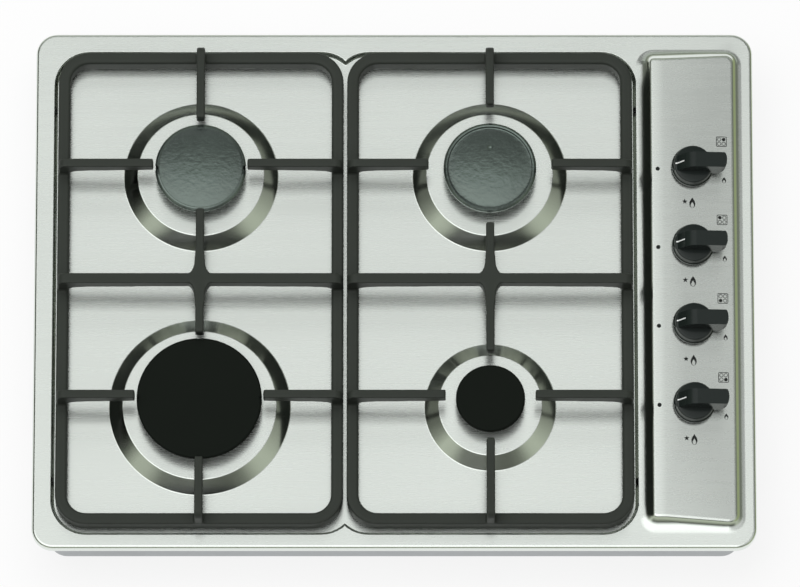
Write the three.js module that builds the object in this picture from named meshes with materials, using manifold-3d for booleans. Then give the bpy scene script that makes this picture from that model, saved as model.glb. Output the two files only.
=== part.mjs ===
// Built-in gas cooktop with four burners, two cast pan supports and a raised control panel.
// Millimetres. X runs to the right, Y to the rear and Z up.
// The origin is under the middle of the plate, on the underside of the bottom tray.
import * as THREE from "three";
import { mergeVertices } from "three/addons/utils/BufferGeometryUtils.js";
import Module from "manifold-3d";

const wasm = await Module();
wasm.setup();

// ---------------------------------------------------------------- driving dimensions

// Where two pieces seat, this gap is left between their meshes.
const seatGap = 0.3;
// How far a cutting shape runs past what it cuts, and a joined one into what it joins.
const overrun = 1;

// Top plate, pressed from one steel sheet.
const plateLength = 580;
const plateDepth = 432;
const plateCornerR = 17;
const sheet = 1;
const trayDepth = 52; // from the tray's underside up to the worktop
const rimHeight = 8; // from the worktop up to the plate's border
const rimEdgeR = 3;
const rimLift = 0.5; // the folded edge stays this far above the worktop
const rimTopZ = trayDepth + rimHeight;

// Basin: a shallow recess made of two cells that overlap in the middle.
const basinDepth = 5;
const basinWallRun = 3;
const basinCornerR = 26;
const basinOverlap = 14;
const basinSideMargin = 1; // from a pan support to the foot of the basin's wall
const basinFrontMargin = 1.2;
const basinRearMargin = 3;
const basinFloorZ = rimTopZ - basinDepth;

// Control panel: a raised tray shape with a level strip and a top that falls to the right.
const panelWidth = 85.1;
const panelSideMargin = 8.6; // from the plate's right edge in to the panel's foot
const panelFrontMargin = 12;
const panelRearMargin = 13.5;
const panelRightX = plateLength / 2 - panelSideMargin;
const panelLeftX = panelRightX - panelWidth;
const panelFrontY = -plateDepth / 2 + panelFrontMargin;
const panelRearY = plateDepth / 2 - panelRearMargin;
const panelCornerR = 14;
const panelStripRise = 12.5;
const panelStripWidth = 21.2;
const panelRightRise = 8.6;
const panelFallWidth = 55.5; // of the falling top, up to the slope at its right
const panelSlopeRun = 0.92; // run of the sloping sides for each millimetre of rise
const panelStripEndX = panelLeftX + panelStripWidth;
const panelTilt = Math.atan((panelStripRise - panelRightRise) / panelFallWidth);

// Layout of the pan supports and the burners in them.
const supportGap = 2.5; // between the two pan supports
const supportPanelGap = 4.05; // from the right pan support to the panel's foot
const supportSideMargin = 18.75; // from the plate's left edge in to the left pan support
const supportFrontMargin = 15.5;
const supportRearMargin = 21;
const supportLeftX = -plateLength / 2 + supportSideMargin;
const supportRightX = panelLeftX - supportPanelGap;
const supportFrontY = -plateDepth / 2 + supportFrontMargin;
const supportRearY = plateDepth / 2 - supportRearMargin;
const supportLength = (supportRightX - supportLeftX - supportGap) / 2;
const burnerX = {
  left: supportLeftX + supportLength / 2,
  right: supportRightX - supportLength / 2,
};
const burnerMiddleY = -1.2;
const burnerPitchTrim = 4.55; // the pitch is this much less than half a pan support's depth
const burnerPitchY = (supportRearY - supportFrontY) / 2 - burnerPitchTrim;
const burnerY = {
  rear: burnerMiddleY + burnerPitchY / 2,
  front: burnerMiddleY - burnerPitchY / 2,
};

// Raised round bosses that the burners stand on.
const bossRise = 8;
const bossTopZ = basinFloorZ + bossRise;
const bossSlopeRun = 12.2;

// Pan supports: two cast frames with arched fingers, on rubber feet.
const supportCornerR = 25;
const supportBarWidth = 9.5;
const supportBarHeight = 16;
const supportEdge = 1;
const footHeight = 5.7;
const supportTopZ = 97;
const fingerWidth = 6.7;
const crossBarWidth = 8.4;
const fingerDepth = 13;
const fingerTipDepth = 10.5;
const fingerTipChamfer = 2;
const fingerEndR = 5;
const gussetRun = 26;
const crossFlare = 2.4;
const crossFlareRun = 26;
const fingerTipClearance = 0.8; // between a lifted cap and the finger tips, at the least
const footInset = 42;
const footR = 4.5;
const footPegR = 2;
const footPegLength = 5;
const supportBottomZ = basinFloorZ + footHeight + seatGap;

// Burners. Each has a cap, a head with flame ports, a cup under the plate, an injector
// in the cup and a spark electrode beside the head.
const middleBossR = 62.7; // the two middle-sized burners at the rear
const middleCapR = 37;
const dishedCapR = 37.4;
const dishedTipR = 49.3; // where the finger tips stand further out than usual
const rapidBossR = 73.3;
const rapidCapR = 50.5;
const auxiliaryBossR = 53.2;
const auxiliaryCapR = 27.8;
const auxiliaryTipR = 35.9;
const burners = [
  {
    name: "rear_left", x: "left", y: "rear",
    bossR: middleBossR, capR: middleCapR, ports: 18, notches: [0, 2],
  },
  {
    name: "front_left", x: "left", y: "front",
    bossR: rapidBossR, capR: rapidCapR, ports: 24, notches: [0, 1, 2, 3],
  },
  {
    name: "rear_right", x: "right", y: "rear",
    bossR: middleBossR, capR: dishedCapR, ports: 18, notches: [],
    tipR: dishedTipR, dishedCap: true,
  },
  {
    name: "front_right", x: "right", y: "front",
    bossR: auxiliaryBossR, capR: auxiliaryCapR, ports: 12, notches: [],
    tipR: auxiliaryTipR,
  },
];
const capThickness = 4.4;
const capOverhang = 6.7; // from the head's wall out to the cap's edge
const capTopZ = 84.2;
const capEdgeChamfer = 1.5;
const capDish = 0.8;
const capDishRim = 3;
const capLipHeight = 2;
const capLipWidth = 2.5;
const capNotchR = 2.2; // pockets in the cap's edge, placed by quarter turns
const headWall = 4;
const headWallHeight = 3.2; // of the wall under the flame ports
const headFloor = 3;
const portShare = 0.36; // share of the port ring that is open
const toothInset = 0.7; // each tooth stands this far inside the wall's faces
const throatR = 7;
const throatWall = 2.4;
const throatLength = 17;
const headLocator = 3;
const cupCollarRise = 1.2; // how far the cup's collar stands above the boss
const cupSeatStep = 4; // from the head's wall in to the plate's hole
const cupWall = 3;
const cupFlange = 3;
const cupFlangeMargin = 4.5; // flange beyond the electrode's centre
const cupBottomZ = 24;
const cupBottom = 4;
const cupWindowWidth = 16;
const cupWindowHeight = 12;
const runningGap = 0.5; // round a collar or a rod that goes through a hole
const injectorTailR = 3.6;
const injectorTailLength = 5;
const injectorHexR = 7;
const injectorHexHeight = 5;
const injectorNozzleR = 3;
const injectorNozzleHeight = 7;
const injectorBoreR = 1.2;
const electrodeInset = 3.2; // from the cap's edge in to the electrode
const electrodeCeramicR = 2.4;
const electrodeCollarR = 4;
const electrodeCollarHeight = 3;
const electrodeTailLength = 12;
const electrodeRise = 5; // ceramic above the boss
const electrodeShoulder = 1; // from the ceramic's end up to the pin
const electrodePinR = 1;
const electrodePinLength = 7;

// Valve stations: knob, stem, tapered plug and valve body share one axis, square to the panel.
const valvePitchY = 66;
const valveRearY = 98.7;
const valveInset = 43.7; // from the panel's left foot to the valves' axes
const valveX = panelLeftX + valveInset;
const knobPush = 2.5; // travel when a knob is pressed
const knobLift = knobPush + runningGap; // skirt above the panel
const knobSkirtR = 16.8;
const knobSkirtTopR = 15.6;
const knobSkirtHeight = 9;
const knobSkirtBand = 3; // upright lower edge of the skirt
const knobHeight = 22;
const knobGripWidth = 12.4;
const knobGripBack = 26; // grip beyond the axis at its top, away from its pointer
const knobGripUndercut = 5; // how far the back face leans in at its foot
const knobPointerCrest = 5; // from the axis to the top of the pointer's slope
const knobPointerFoot = 16.8; // from the axis to the foot of that slope
const knobBoreDepth = 12;
const stemR = 3.4;
const stemHoleR = 6;
const stemEngagement = 5; // stem inside the plug's socket at rest
const valveNeckTop = 4.5; // below the panel's top face
const valveNeckR = 8;
const valveNeckLength = 8;
const valveBodyR = 12;
const valveBodyLength = 30;
const valveRoof = 1; // over the plug's chamber
const plugR = 6;
const plugLength = 20;
const plugTaper = 0.08;
const valvePortR = 5.5;
const valvePortReach = 15; // from the axis out to the port faces
const valvePortDepth = 30; // from the panel's top face down to the ports' axis

// Gas pipes.
const manifoldR = 7;
const manifoldFlat = 5.5; // from the pipe's axis to its flat side
const manifoldEndMargin = 24;
const manifoldFootWidth = 18;
const manifoldFootThickness = 3;
const inletR = 10.5;
const inletBoreR = 6.5;
const inletHexR = 14;
const inletHexLength = 12;
const inletReach = 4; // beyond the tray's rear wall
const inletChamfer = 1;
const pipeR = 4;
const pipeRunZ = 9;
const pipeBendR = 14;
const pipeRiserBendR = 8;

// Bottom tray, seal, clamps and spark module.
const traySideMargin = 12; // the plate reaches this far beyond the tray's sides
const trayEndMargin = 9; // and this far beyond its front and rear
const trayLength = plateLength - 2 * traySideMargin;
const trayBoxDepth = plateDepth - 2 * trayEndMargin;
const trayCornerR = 15;
const trayBend = 2;
const trayFlangeMargin = 2.5; // from the plate's edge in to the flange
const sealWidth = 5;
const sealInset = 0.8;
const clampWidth = 22;
const clampThickness = 2;
const clampMargin = 96; // from the plate's front or rear edge in to a clamp
const clampY = plateDepth / 2 - clampMargin;
const clampTabZ = 5;
const clampTongueZ = 20;
const clampReach = 10;
const clampLip = 2;
const sparkModuleMargin = 76; // from the plate's rear edge in to the module's middle
const sparkModuleX = -40;
const sparkModuleY = plateDepth / 2 - sparkModuleMargin;
const sparkModuleLength = 70;
const sparkModuleDepth = 40;
const sparkModuleHeight = 26;
const sparkModuleEdge = 2;

// Facets.
const fine = 24;
const broad = 20;
const medium = 16;
const coarse = 12;
const tiny = 8;
const hexagon = 6;
const cornerSteps = 4;
const pressSteps = 3;
const quarterTurn = Math.PI / 2;
const weldDistance = 1e-4; // vertices closer than this become one

// ---------------------------------------------------------------- geometry helpers

// A closed geometry as a solid. Its faces are turned outwards if they point in.
function solid(geometry) {
  const bare = geometry.index ? geometry.toNonIndexed() : geometry.clone();
  bare.deleteAttribute("normal");
  bare.deleteAttribute("uv");
  const merged = mergeVertices(bare, weldDistance);
  const vertProperties = merged.attributes.position.array;
  const triVerts = new Uint32Array(merged.index.array);
  const made = new wasm.Manifold(new wasm.Mesh({ numProp: 3, vertProperties, triVerts }));
  if (made.volume() > 0) return made;
  return new wasm.Manifold(
    new wasm.Mesh({ numProp: 3, vertProperties, triVerts: triVerts.slice().reverse() }),
  );
}

function geometryOf(made) {
  const mesh = made.getMesh();
  const geometry = new THREE.BufferGeometry();
  geometry.setAttribute("position", new THREE.BufferAttribute(mesh.vertProperties, 3));
  geometry.setIndex(new THREE.BufferAttribute(mesh.triVerts, 1));
  const flat = geometry.toNonIndexed();
  flat.computeVertexNormals();
  return flat;
}

const union = (solids) => solids.reduce((whole, next) => whole.add(next));
const vec = (x, y) => new THREE.Vector2(x, y);

// A body of revolution about Z. The profile holds [radius, z] pairs.
function turned(profile, segments) {
  const lathe = new THREE.LatheGeometry(profile.map(([r, z]) => vec(r, z)), segments);
  return lathe.rotateX(quarterTurn);
}

function rod(radius, z0, z1, segments = coarse) {
  return turned([[0, z0], [radius, z0], [radius, z1], [0, z1]], segments);
}

function box(x0, x1, y0, y1, z0, z1) {
  const geometry = new THREE.BoxGeometry(x1 - x0, y1 - y0, z1 - z0);
  return geometry.translate((x0 + x1) / 2, (y0 + y1) / 2, (z0 + z1) / 2);
}

// The corners of a rectangle with round corners, inset by a distance (negative grows it).
function rounded({ x0, x1, y0, y1, r }, inset = 0) {
  const radius = r - inset;
  const centres = [
    [x1 - r, y0 + r],
    [x1 - r, y1 - r],
    [x0 + r, y1 - r],
    [x0 + r, y0 + r],
  ];
  return centres.flatMap(([x, y], corner) =>
    Array.from({ length: cornerSteps + 1 }, (_, i) => {
      const angle = quarterTurn * (corner - 1 + i / cornerSteps);
      return vec(x + radius * Math.cos(angle), y + radius * Math.sin(angle));
    }),
  );
}

function centred(length, depth, r) {
  return { x0: -length / 2, x1: length / 2, y0: -depth / 2, y1: depth / 2, r };
}

// A closed solid through convex outlines at rising heights, all with as many points.
function loft(rings) {
  const count = rings[0].points.length;
  const position = rings.flatMap(({ points, z }) => points.flatMap((p) => [p.x, p.y, z]));
  const index = [];
  for (let k = 0; k < rings.length - 1; k++) {
    for (let i = 0; i < count; i++) {
      const a = k * count + i;
      const b = k * count + ((i + 1) % count);
      index.push(a, b, b + count, a, b + count, a + count);
    }
  }
  const top = (rings.length - 1) * count;
  for (let i = 1; i < count - 1; i++) {
    index.push(0, i + 1, i, top, top + i, top + i + 1);
  }
  const geometry = new THREE.BufferGeometry();
  geometry.setAttribute("position", new THREE.Float32BufferAttribute(position, 3));
  geometry.setIndex(index);
  return geometry;
}

// An outline in (x, z), extruded along Y and centred there.
function extrudedAlongY(shape, width, curveSegments = pressSteps) {
  const options = { depth: width, bevelEnabled: false, curveSegments };
  const geometry = new THREE.ExtrudeGeometry(shape, options);
  return geometry.rotateX(quarterTurn).translate(0, width / 2, 0);
}

// A flat ring between two outlines, from z0 to z1.
function ring(outer, inner, z0, z1) {
  const shape = new THREE.Shape(outer);
  shape.holes.push(new THREE.Path(inner));
  const geometry = new THREE.ExtrudeGeometry(shape, { depth: z1 - z0, bevelEnabled: false });
  return geometry.translate(0, 0, z0);
}

// A route of straight runs with round bends, met at chosen stations instead of even steps.
class PipeRoute extends THREE.Curve {
  constructor(corners, bendRadii) {
    super();
    this.stations = [corners[0]];
    corners.slice(1, -1).forEach((corner, i) => {
      const before = corners[i].clone().sub(corner).setLength(bendRadii[i]).add(corner);
      const after = corners[i + 2].clone().sub(corner).setLength(bendRadii[i]).add(corner);
      const bend = new THREE.QuadraticBezierCurve3(before, corner, after);
      this.stations.push(...bend.getPoints(pressSteps));
    });
    this.stations.push(corners[corners.length - 1]);
  }
  get steps() {
    return this.stations.length - 1;
  }
  getPointAt(u) {
    return this.stations[Math.round(u * this.steps)].clone();
  }
  getTangentAt(u) {
    const i = Math.round(u * this.steps);
    const ahead = this.stations[Math.min(i + 1, this.steps)];
    const behind = this.stations[Math.max(i - 1, 0)];
    return ahead.clone().sub(behind).normalize();
  }
}

function pipe(corners, bendRadii, radius) {
  const route = new PipeRoute(corners, bendRadii);
  const section = new THREE.Shape();
  section.absarc(0, 0, radius, 0, 4 * quarterTurn);
  const options = { steps: route.steps, extrudePath: route, curveSegments: hexagon / 2 };
  return new THREE.ExtrudeGeometry(section, options);
}

// ---------------------------------------------------------------- materials and nodes

function material(color, roughness, metalness) {
  return new THREE.MeshStandardMaterial({ color, roughness, metalness });
}

const steel = material(0xc9cbc8, 0.35, 1);
const galvanised = material(0xa9adb0, 0.5, 1);
const castIron = material(0x33352f, 0.6, 0.2);
const enamel = material(0x1d201f, 0.25, 0.1);
const aluminium = material(0x9a9c9e, 0.45, 1);
const brass = material(0xb08d4a, 0.35, 1);
const ceramic = material(0xe8e4da, 0.4, 0);
const rubber = material(0x1b1b1b, 0.9, 0);
const knobPlastic = material(0x1f2624, 0.2, 0);
const casePlastic = material(0xd9d9d2, 0.6, 0);

const cooktop = new THREE.Group();

function node(name, made, look, parent = cooktop) {
  const geometry = made instanceof wasm.Manifold ? geometryOf(made) : made;
  const mesh = new THREE.Mesh(geometry, look);
  mesh.name = name;
  parent.add(mesh);
  return mesh;
}

const placeOf = (burner) => ({ x: burnerX[burner.x], y: burnerY[burner.y] });
const headR = (burner) => burner.capR - capOverhang;
const seatR = (burner) => headR(burner) - cupSeatStep;
const electrodeX = (burner) => burner.capR - electrodeInset;
const tipRadius = (burner) => burner.tipR ?? burner.capR + fingerTipClearance;

// ---------------------------------------------------------------- top plate

// Offset that keeps a slope of a given rise and run one sheet thick.
const slopeOffset = (run, rise, drop) => drop * Math.tan(Math.atan2(rise, run) / 2);

// A pressed slope: distances out and up along a soft S.
function pressedSlope(run, rise) {
  return Array.from({ length: pressSteps + 1 }, (_, i) => {
    const t = i / pressSteps;
    return { out: run * t, up: rise * t * t * (3 - 2 * t) };
  });
}

const supportX = {
  left: { x0: supportLeftX, x1: supportLeftX + supportLength },
  right: { x0: supportRightX - supportLength, x1: supportRightX },
};
const cellMeetingX = (supportX.left.x1 + supportX.right.x0) / 2;
const basinCells = [
  { x0: supportX.left.x0 - basinSideMargin, x1: cellMeetingX + basinOverlap / 2 },
  { x0: cellMeetingX - basinOverlap / 2, x1: supportX.right.x1 + basinSideMargin },
].map((cell) => ({
  ...cell,
  y0: supportFrontY - basinFrontMargin,
  y1: supportRearY + basinRearMargin,
  r: basinCornerR,
}));

function basinVoid(drop) {
  const grow = slopeOffset(basinWallRun, basinDepth, drop);
  const cells = basinCells.map((cell) => {
    const wall = pressedSlope(basinWallRun, basinDepth).map(({ out, up }) => ({
      points: rounded(cell, -out - grow),
      z: basinFloorZ + up - drop,
    }));
    const mouth = { points: rounded(cell, -basinWallRun - grow), z: rimTopZ + panelStripRise };
    return solid(loft([...wall, mouth]));
  });
  return union(cells);
}

function boss(burner, drop) {
  const shrink = slopeOffset(bossSlopeRun, bossRise, drop);
  const slope = pressedSlope(bossSlopeRun, bossRise).map(({ out, up }) => [
    burner.bossR - out - shrink,
    basinFloorZ + up - drop,
  ]);
  const root = basinFloorZ - sheet - overrun - drop;
  const profile = [[0, root], [slope[0][0], root], ...slope, [0, bossTopZ - drop]];
  const { x, y } = placeOf(burner);
  return solid(turned(profile, broad).translate(x, y, 0));
}

// Height of the panel's top face at a place along X.
function panelTopZ(x) {
  const past = Math.max(0, x - panelStripEndX);
  return rimTopZ + panelStripRise - past * Math.tan(panelTilt);
}

function panelForm(drop) {
  const outline = {
    x0: panelLeftX,
    x1: panelRightX,
    y0: panelFrontY,
    y1: panelRearY,
    r: panelCornerR,
  };
  const shrink = slopeOffset(panelSlopeRun, 1, drop);
  const root = { points: rounded(outline, shrink), z: basinFloorZ - drop };
  const foot = { points: rounded(outline, shrink), z: rimTopZ - drop };
  const full = panelStripRise + overrun;
  const peak = {
    points: rounded(outline, shrink + full * panelSlopeRun),
    z: rimTopZ - drop + full,
  };
  const left = panelLeftX - overrun;
  const right = panelRightX + overrun;
  const side = new THREE.Shape([
    vec(left, trayDepth - drop),
    vec(right, trayDepth - drop),
    vec(right, panelTopZ(right) - drop),
    vec(panelStripEndX, panelTopZ(panelStripEndX) - drop),
    vec(left, panelTopZ(left) - drop),
  ]);
  return solid(loft([root, foot, peak])).intersect(solid(extrudedAlongY(side, plateDepth)));
}

function plateForm(drop, bottomZ) {
  const outline = centred(plateLength, plateDepth, plateCornerR);
  const radius = rimEdgeR - drop;
  const edge = Array.from({ length: pressSteps }, (_, i) => {
    const angle = quarterTurn * (i / (pressSteps - 1));
    return {
      points: rounded(outline, drop + radius * (1 - Math.cos(angle))),
      z: rimTopZ - drop - radius * (1 - Math.sin(angle)),
    };
  });
  const block = solid(loft([{ points: rounded(outline, drop), z: bottomZ }, ...edge]));
  const basin = block.subtract(basinVoid(drop));
  return union([basin, ...burners.map((burner) => boss(burner, drop)), panelForm(drop)]);
}

// Valve stations are groups whose local Z is square to the panel's sloping face.
const stations = ["rear_right", "rear_left", "front_left", "front_right"].map((name, i) => {
  const group = new THREE.Group();
  group.position.set(valveX, valveRearY - i * valvePitchY, panelTopZ(valveX));
  group.rotation.y = panelTilt;
  group.updateMatrix();
  cooktop.add(group);
  return { name, group };
});

function plate() {
  const top = plateForm(0, trayDepth + rimLift);
  const under = plateForm(sheet, trayDepth - rimHeight);
  const burnerHoles = burners.flatMap((burner) => {
    const { x, y } = placeOf(burner);
    const electrodeHoleR = electrodeCeramicR + runningGap;
    return [
      rod(seatR(burner), trayDepth, capTopZ, medium).translate(x, y, 0),
      rod(electrodeHoleR, trayDepth, capTopZ, tiny).translate(x + electrodeX(burner), y, 0),
    ];
  });
  const stemHoles = stations.map(({ group }) =>
    rod(stemHoleR, -rimHeight, rimHeight, tiny).applyMatrix4(group.matrix),
  );
  const holes = union([...burnerHoles, ...stemHoles].map(solid));
  return top.subtract(under).subtract(holes);
}

node("cooktop_plate", plate(), steel);

// ---------------------------------------------------------------- tray, seal and clamps

const trayOutline = centred(trayLength, trayBoxDepth, trayCornerR);
const flangeOutline = centred(
  plateLength - 2 * trayFlangeMargin,
  plateDepth - 2 * trayFlangeMargin,
  plateCornerR,
);
const flangeTopZ = rimTopZ - sheet - seatGap;

// Where the manifold's axis lies in a valve station: towards the right side and down.
const manifoldAxis = new THREE.Vector3(
  valvePortReach + seatGap + manifoldFlat,
  0,
  -valvePortDepth,
);
const manifoldPlace = manifoldAxis.clone().applyMatrix4(stations[0].group.matrix);

function tray() {
  const outside = solid(loft([
    { points: rounded(trayOutline, trayBend), z: 0 },
    { points: rounded(trayOutline), z: trayBend },
    { points: rounded(trayOutline), z: flangeTopZ },
  ]));
  const inside = solid(loft([
    { points: rounded(trayOutline, trayBend + sheet), z: sheet },
    { points: rounded(trayOutline, sheet), z: trayBend + sheet },
    { points: rounded(trayOutline, sheet), z: rimTopZ },
  ]));
  const flange = solid(ring(
    rounded(flangeOutline),
    rounded(trayOutline, sheet / 2),
    flangeTopZ - sheet,
    flangeTopZ,
  ));
  const inletHole = rod(inletR + runningGap, -trayBoxDepth, 0, medium)
    .rotateX(quarterTurn)
    .translate(manifoldPlace.x, 0, manifoldPlace.z);
  return outside.subtract(inside).add(flange).subtract(solid(inletHole));
}

node("bottom_tray", tray(), galvanised);

const seal = ring(
  rounded(flangeOutline, sealInset),
  rounded(flangeOutline, sealInset + sealWidth),
  trayDepth,
  flangeTopZ - sheet - seatGap,
);
node("rim_seal", seal, rubber);

function clamp(side) {
  const wall = trayLength / 2 + seatGap;
  const shape = new THREE.Shape([
    vec(wall, clampTabZ),
    vec(wall + clampThickness, clampTabZ),
    vec(wall + clampThickness, clampTongueZ - clampThickness),
    vec(wall + clampReach, clampTongueZ - clampThickness),
    vec(wall + clampReach, clampTongueZ + clampLip),
    vec(wall + clampReach - clampThickness, clampTongueZ + clampLip),
    vec(wall + clampReach - clampThickness, clampTongueZ),
    vec(wall, clampTongueZ),
  ]);
  const geometry = extrudedAlongY(shape, clampWidth);
  return side > 0 ? geometry : geometry.rotateZ(2 * quarterTurn);
}

for (const [side, sign] of [["left", -1], ["right", 1]]) {
  for (const [end, y] of [["front", -clampY], ["rear", clampY]]) {
    node(`worktop_clamp_${end}_${side}`, clamp(sign).translate(0, y, 0), galvanised);
  }
}

// ---------------------------------------------------------------- pan supports

const supportFrameTopZ = supportBottomZ + supportBarHeight;

// Side view of a finger, from its tip at one radius out to the frame's outer face.
function fingerSide(tip, reach) {
  const shape = new THREE.Shape();
  const underZ = supportTopZ - fingerDepth;
  const frameInside = reach - supportBarWidth + supportEdge;
  const seatZ = supportFrameTopZ - supportBarHeight / 2;
  shape.moveTo(tip, supportTopZ - fingerTipDepth);
  shape.lineTo(reach - gussetRun, underZ);
  shape.quadraticCurveTo(frameInside, underZ, frameInside, supportFrameTopZ - supportEdge);
  shape.lineTo(frameInside, seatZ);
  shape.lineTo(reach - supportEdge, seatZ);
  shape.lineTo(reach - supportEdge, supportTopZ - fingerEndR);
  shape.quadraticCurveTo(reach - supportEdge, supportTopZ, reach - fingerEndR, supportTopZ);
  shape.lineTo(tip + fingerTipChamfer, supportTopZ);
  shape.lineTo(tip, supportTopZ - fingerTipChamfer);
  return shape;
}

function finger(tip, reach, quarters, x, y, width = fingerWidth) {
  const geometry = extrudedAlongY(fingerSide(tip, reach), width);
  return solid(geometry.rotateZ(quarters * quarterTurn).translate(x, y, 0));
}

// A finger from a burner to the cross bar, which it meets in a flare.
function crossFinger(tip, reach, quarters, x, y) {
  const half = fingerWidth / 2;
  const flareHalf = fingerWidth + crossFlare;
  const shape = new THREE.Shape();
  shape.moveTo(tip, -half);
  shape.lineTo(reach - crossFlareRun, -half);
  shape.quadraticCurveTo(reach - crossBarWidth, -half, reach, -flareHalf);
  shape.lineTo(reach, flareHalf);
  shape.quadraticCurveTo(reach - crossBarWidth, half, reach - crossFlareRun, half);
  shape.lineTo(tip, half);
  const options = { depth: fingerDepth, bevelEnabled: false, curveSegments: pressSteps };
  const plan = new THREE.ExtrudeGeometry(shape, options);
  const sideView = new THREE.Shape([
    vec(tip, supportTopZ - fingerTipDepth),
    vec(reach, supportTopZ - fingerDepth),
    vec(reach, supportTopZ),
    vec(tip + fingerTipChamfer, supportTopZ),
    vec(tip, supportTopZ - fingerTipChamfer),
  ]);
  const side = extrudedAlongY(sideView, 2 * (flareHalf + overrun));
  return solid(plan.translate(0, 0, supportTopZ - fingerDepth))
    .intersect(solid(side))
    .rotate([0, 0, THREE.MathUtils.radToDeg(quarters * quarterTurn)])
    .translate([x, y, 0]);
}

function supportFrame({ x0, x1 }) {
  const outline = { x0, x1, y0: supportFrontY, y1: supportRearY, r: supportCornerR };
  const outside = (inset, z) => ({ points: rounded(outline, inset), z });
  const inside = (inset, z) => ({ points: rounded(outline, supportBarWidth - inset), z });
  const bar = solid(loft([
    outside(0, supportBottomZ),
    outside(0, supportFrameTopZ - supportEdge),
    outside(supportEdge, supportFrameTopZ),
  ]));
  const opening = solid(loft([
    inside(0, supportBottomZ - overrun),
    inside(0, supportFrameTopZ - supportEdge),
    inside(supportEdge, supportFrameTopZ),
    inside(supportEdge, supportTopZ),
  ]));
  return bar.subtract(opening);
}

function footPlaces({ x0, x1 }) {
  const sides = [["left", x0 + supportBarWidth / 2], ["right", x1 - supportBarWidth / 2]];
  const ends = [["front", supportFrontY + footInset], ["rear", supportRearY - footInset]];
  return sides.flatMap(([side, x]) => ends.map(([end, y]) => ({ name: `${end}_${side}`, x, y })));
}

function panSupport(column) {
  const x = burnerX[column];
  const { x0, x1 } = supportX[column];
  const pieces = [supportFrame({ x0, x1 })];
  pieces.push(finger(-overrun, x1 - x, 0, x, burnerMiddleY, crossBarWidth));
  pieces.push(finger(-overrun, x - x0, 2, x, burnerMiddleY, crossBarWidth));
  for (const burner of burners.filter((each) => each.x === column)) {
    const { y } = placeOf(burner);
    const tip = tipRadius(burner);
    const [outwards, inwards] = burner.y === "rear" ? [1, 3] : [3, 1];
    const endReach = burner.y === "rear" ? supportRearY - y : y - supportFrontY;
    pieces.push(finger(tip, x1 - x, 0, x, y));
    pieces.push(finger(tip, x - x0, 2, x, y));
    pieces.push(finger(tip, endReach, outwards, x, y));
    pieces.push(crossFinger(tip, burnerPitchY / 2, inwards, x, y));
  }
  const sockets = footPlaces({ x0, x1 }).map((place) =>
    solid(
      rod(footPegR + seatGap, supportBottomZ - overrun, supportBottomZ + footPegLength, hexagon)
        .translate(place.x, place.y, 0),
    ),
  );
  return union(pieces).subtract(union(sockets));
}

function foot() {
  const floor = basinFloorZ + seatGap;
  const pegZ = supportBottomZ - seatGap;
  return turned([
    [0, floor],
    [footR, floor],
    [footR, pegZ],
    [footPegR, pegZ],
    [footPegR, pegZ + footPegLength],
    [0, pegZ + footPegLength],
  ], hexagon);
}

for (const column of ["left", "right"]) {
  node(`pan_support_${column}`, panSupport(column), castIron);
  for (const { name, x, y } of footPlaces(supportX[column])) {
    node(`foot_${name}_of_${column}_support`, foot().translate(x, y, 0), rubber);
  }
}

// ---------------------------------------------------------------- burners

const collarTopZ = bossTopZ + cupCollarRise;
const headBottomZ = collarTopZ + seatGap;
const headTopZ = capTopZ - capThickness - seatGap;
const headFloorZ = headBottomZ + headFloor;

function cap(burner) {
  const r = burner.capR;
  const under = capTopZ - capThickness;
  const lipR = headR(burner) - headWall - seatGap;
  const top = burner.dishedCap
    ? [[r - capDishRim, capTopZ], [r - capDishRim - capDish, capTopZ - capDish]]
    : [];
  const profile = [
    [0, under],
    [lipR - capLipWidth, under],
    [lipR - capLipWidth, under - capLipHeight],
    [lipR, under - capLipHeight],
    [lipR, under],
    [r, under],
    [r, capTopZ - capEdgeChamfer],
    [r - capEdgeChamfer, capTopZ],
    ...top,
    [0, burner.dishedCap ? capTopZ - capDish : capTopZ],
  ];
  const disc = solid(turned(profile, fine));
  if (!burner.notches.length) return disc;
  const notches = burner.notches.map((quarters) =>
    solid(rod(capNotchR, under - overrun, capTopZ + overrun)
      .translate(r, 0, 0)
      .rotateZ(quarters * quarterTurn)),
  );
  return disc.subtract(union(notches));
}

// The flame spreader: a floor, a wall with a ring of teeth, and a throat down into the cup.
function head(burner) {
  const r = headR(burner);
  const locatorR = seatR(burner) - runningGap - cupWall - seatGap;
  const throatOutR = throatR + throatWall;
  const wallTopZ = headFloorZ + headWallHeight;
  const body = solid(turned([
    [throatR, headFloorZ - throatLength],
    [throatOutR, headFloorZ - throatLength],
    [throatOutR, headBottomZ - headLocator],
    [locatorR, headBottomZ - headLocator],
    [locatorR, headBottomZ],
    [r, headBottomZ],
    [r, wallTopZ],
    [r - headWall, wallTopZ],
    [r - headWall, headFloorZ],
    [throatR, headFloorZ],
    [throatR, headFloorZ - throatLength],
  ], medium));
  const step = (4 * quarterTurn) / burner.ports;
  const half = (step * (1 - portShare)) / 2;
  const corner = (radius, angle) => vec(radius * Math.cos(angle), radius * Math.sin(angle));
  const outer = r - toothInset;
  const inner = r - headWall + toothInset;
  const sector = new THREE.Shape([
    corner(outer, -half),
    corner(outer, half),
    corner(inner, half),
    corner(inner, -half),
  ]);
  const depth = headTopZ - wallTopZ + overrun;
  const tooth = solid(
    new THREE.ExtrudeGeometry(sector, { depth, bevelEnabled: false })
      .translate(0, 0, wallTopZ - overrun),
  );
  const teeth = Array.from({ length: burner.ports }, (_, i) =>
    tooth.rotate([0, 0, THREE.MathUtils.radToDeg(step * i)]),
  );
  return union([body, ...teeth]);
}

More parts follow.
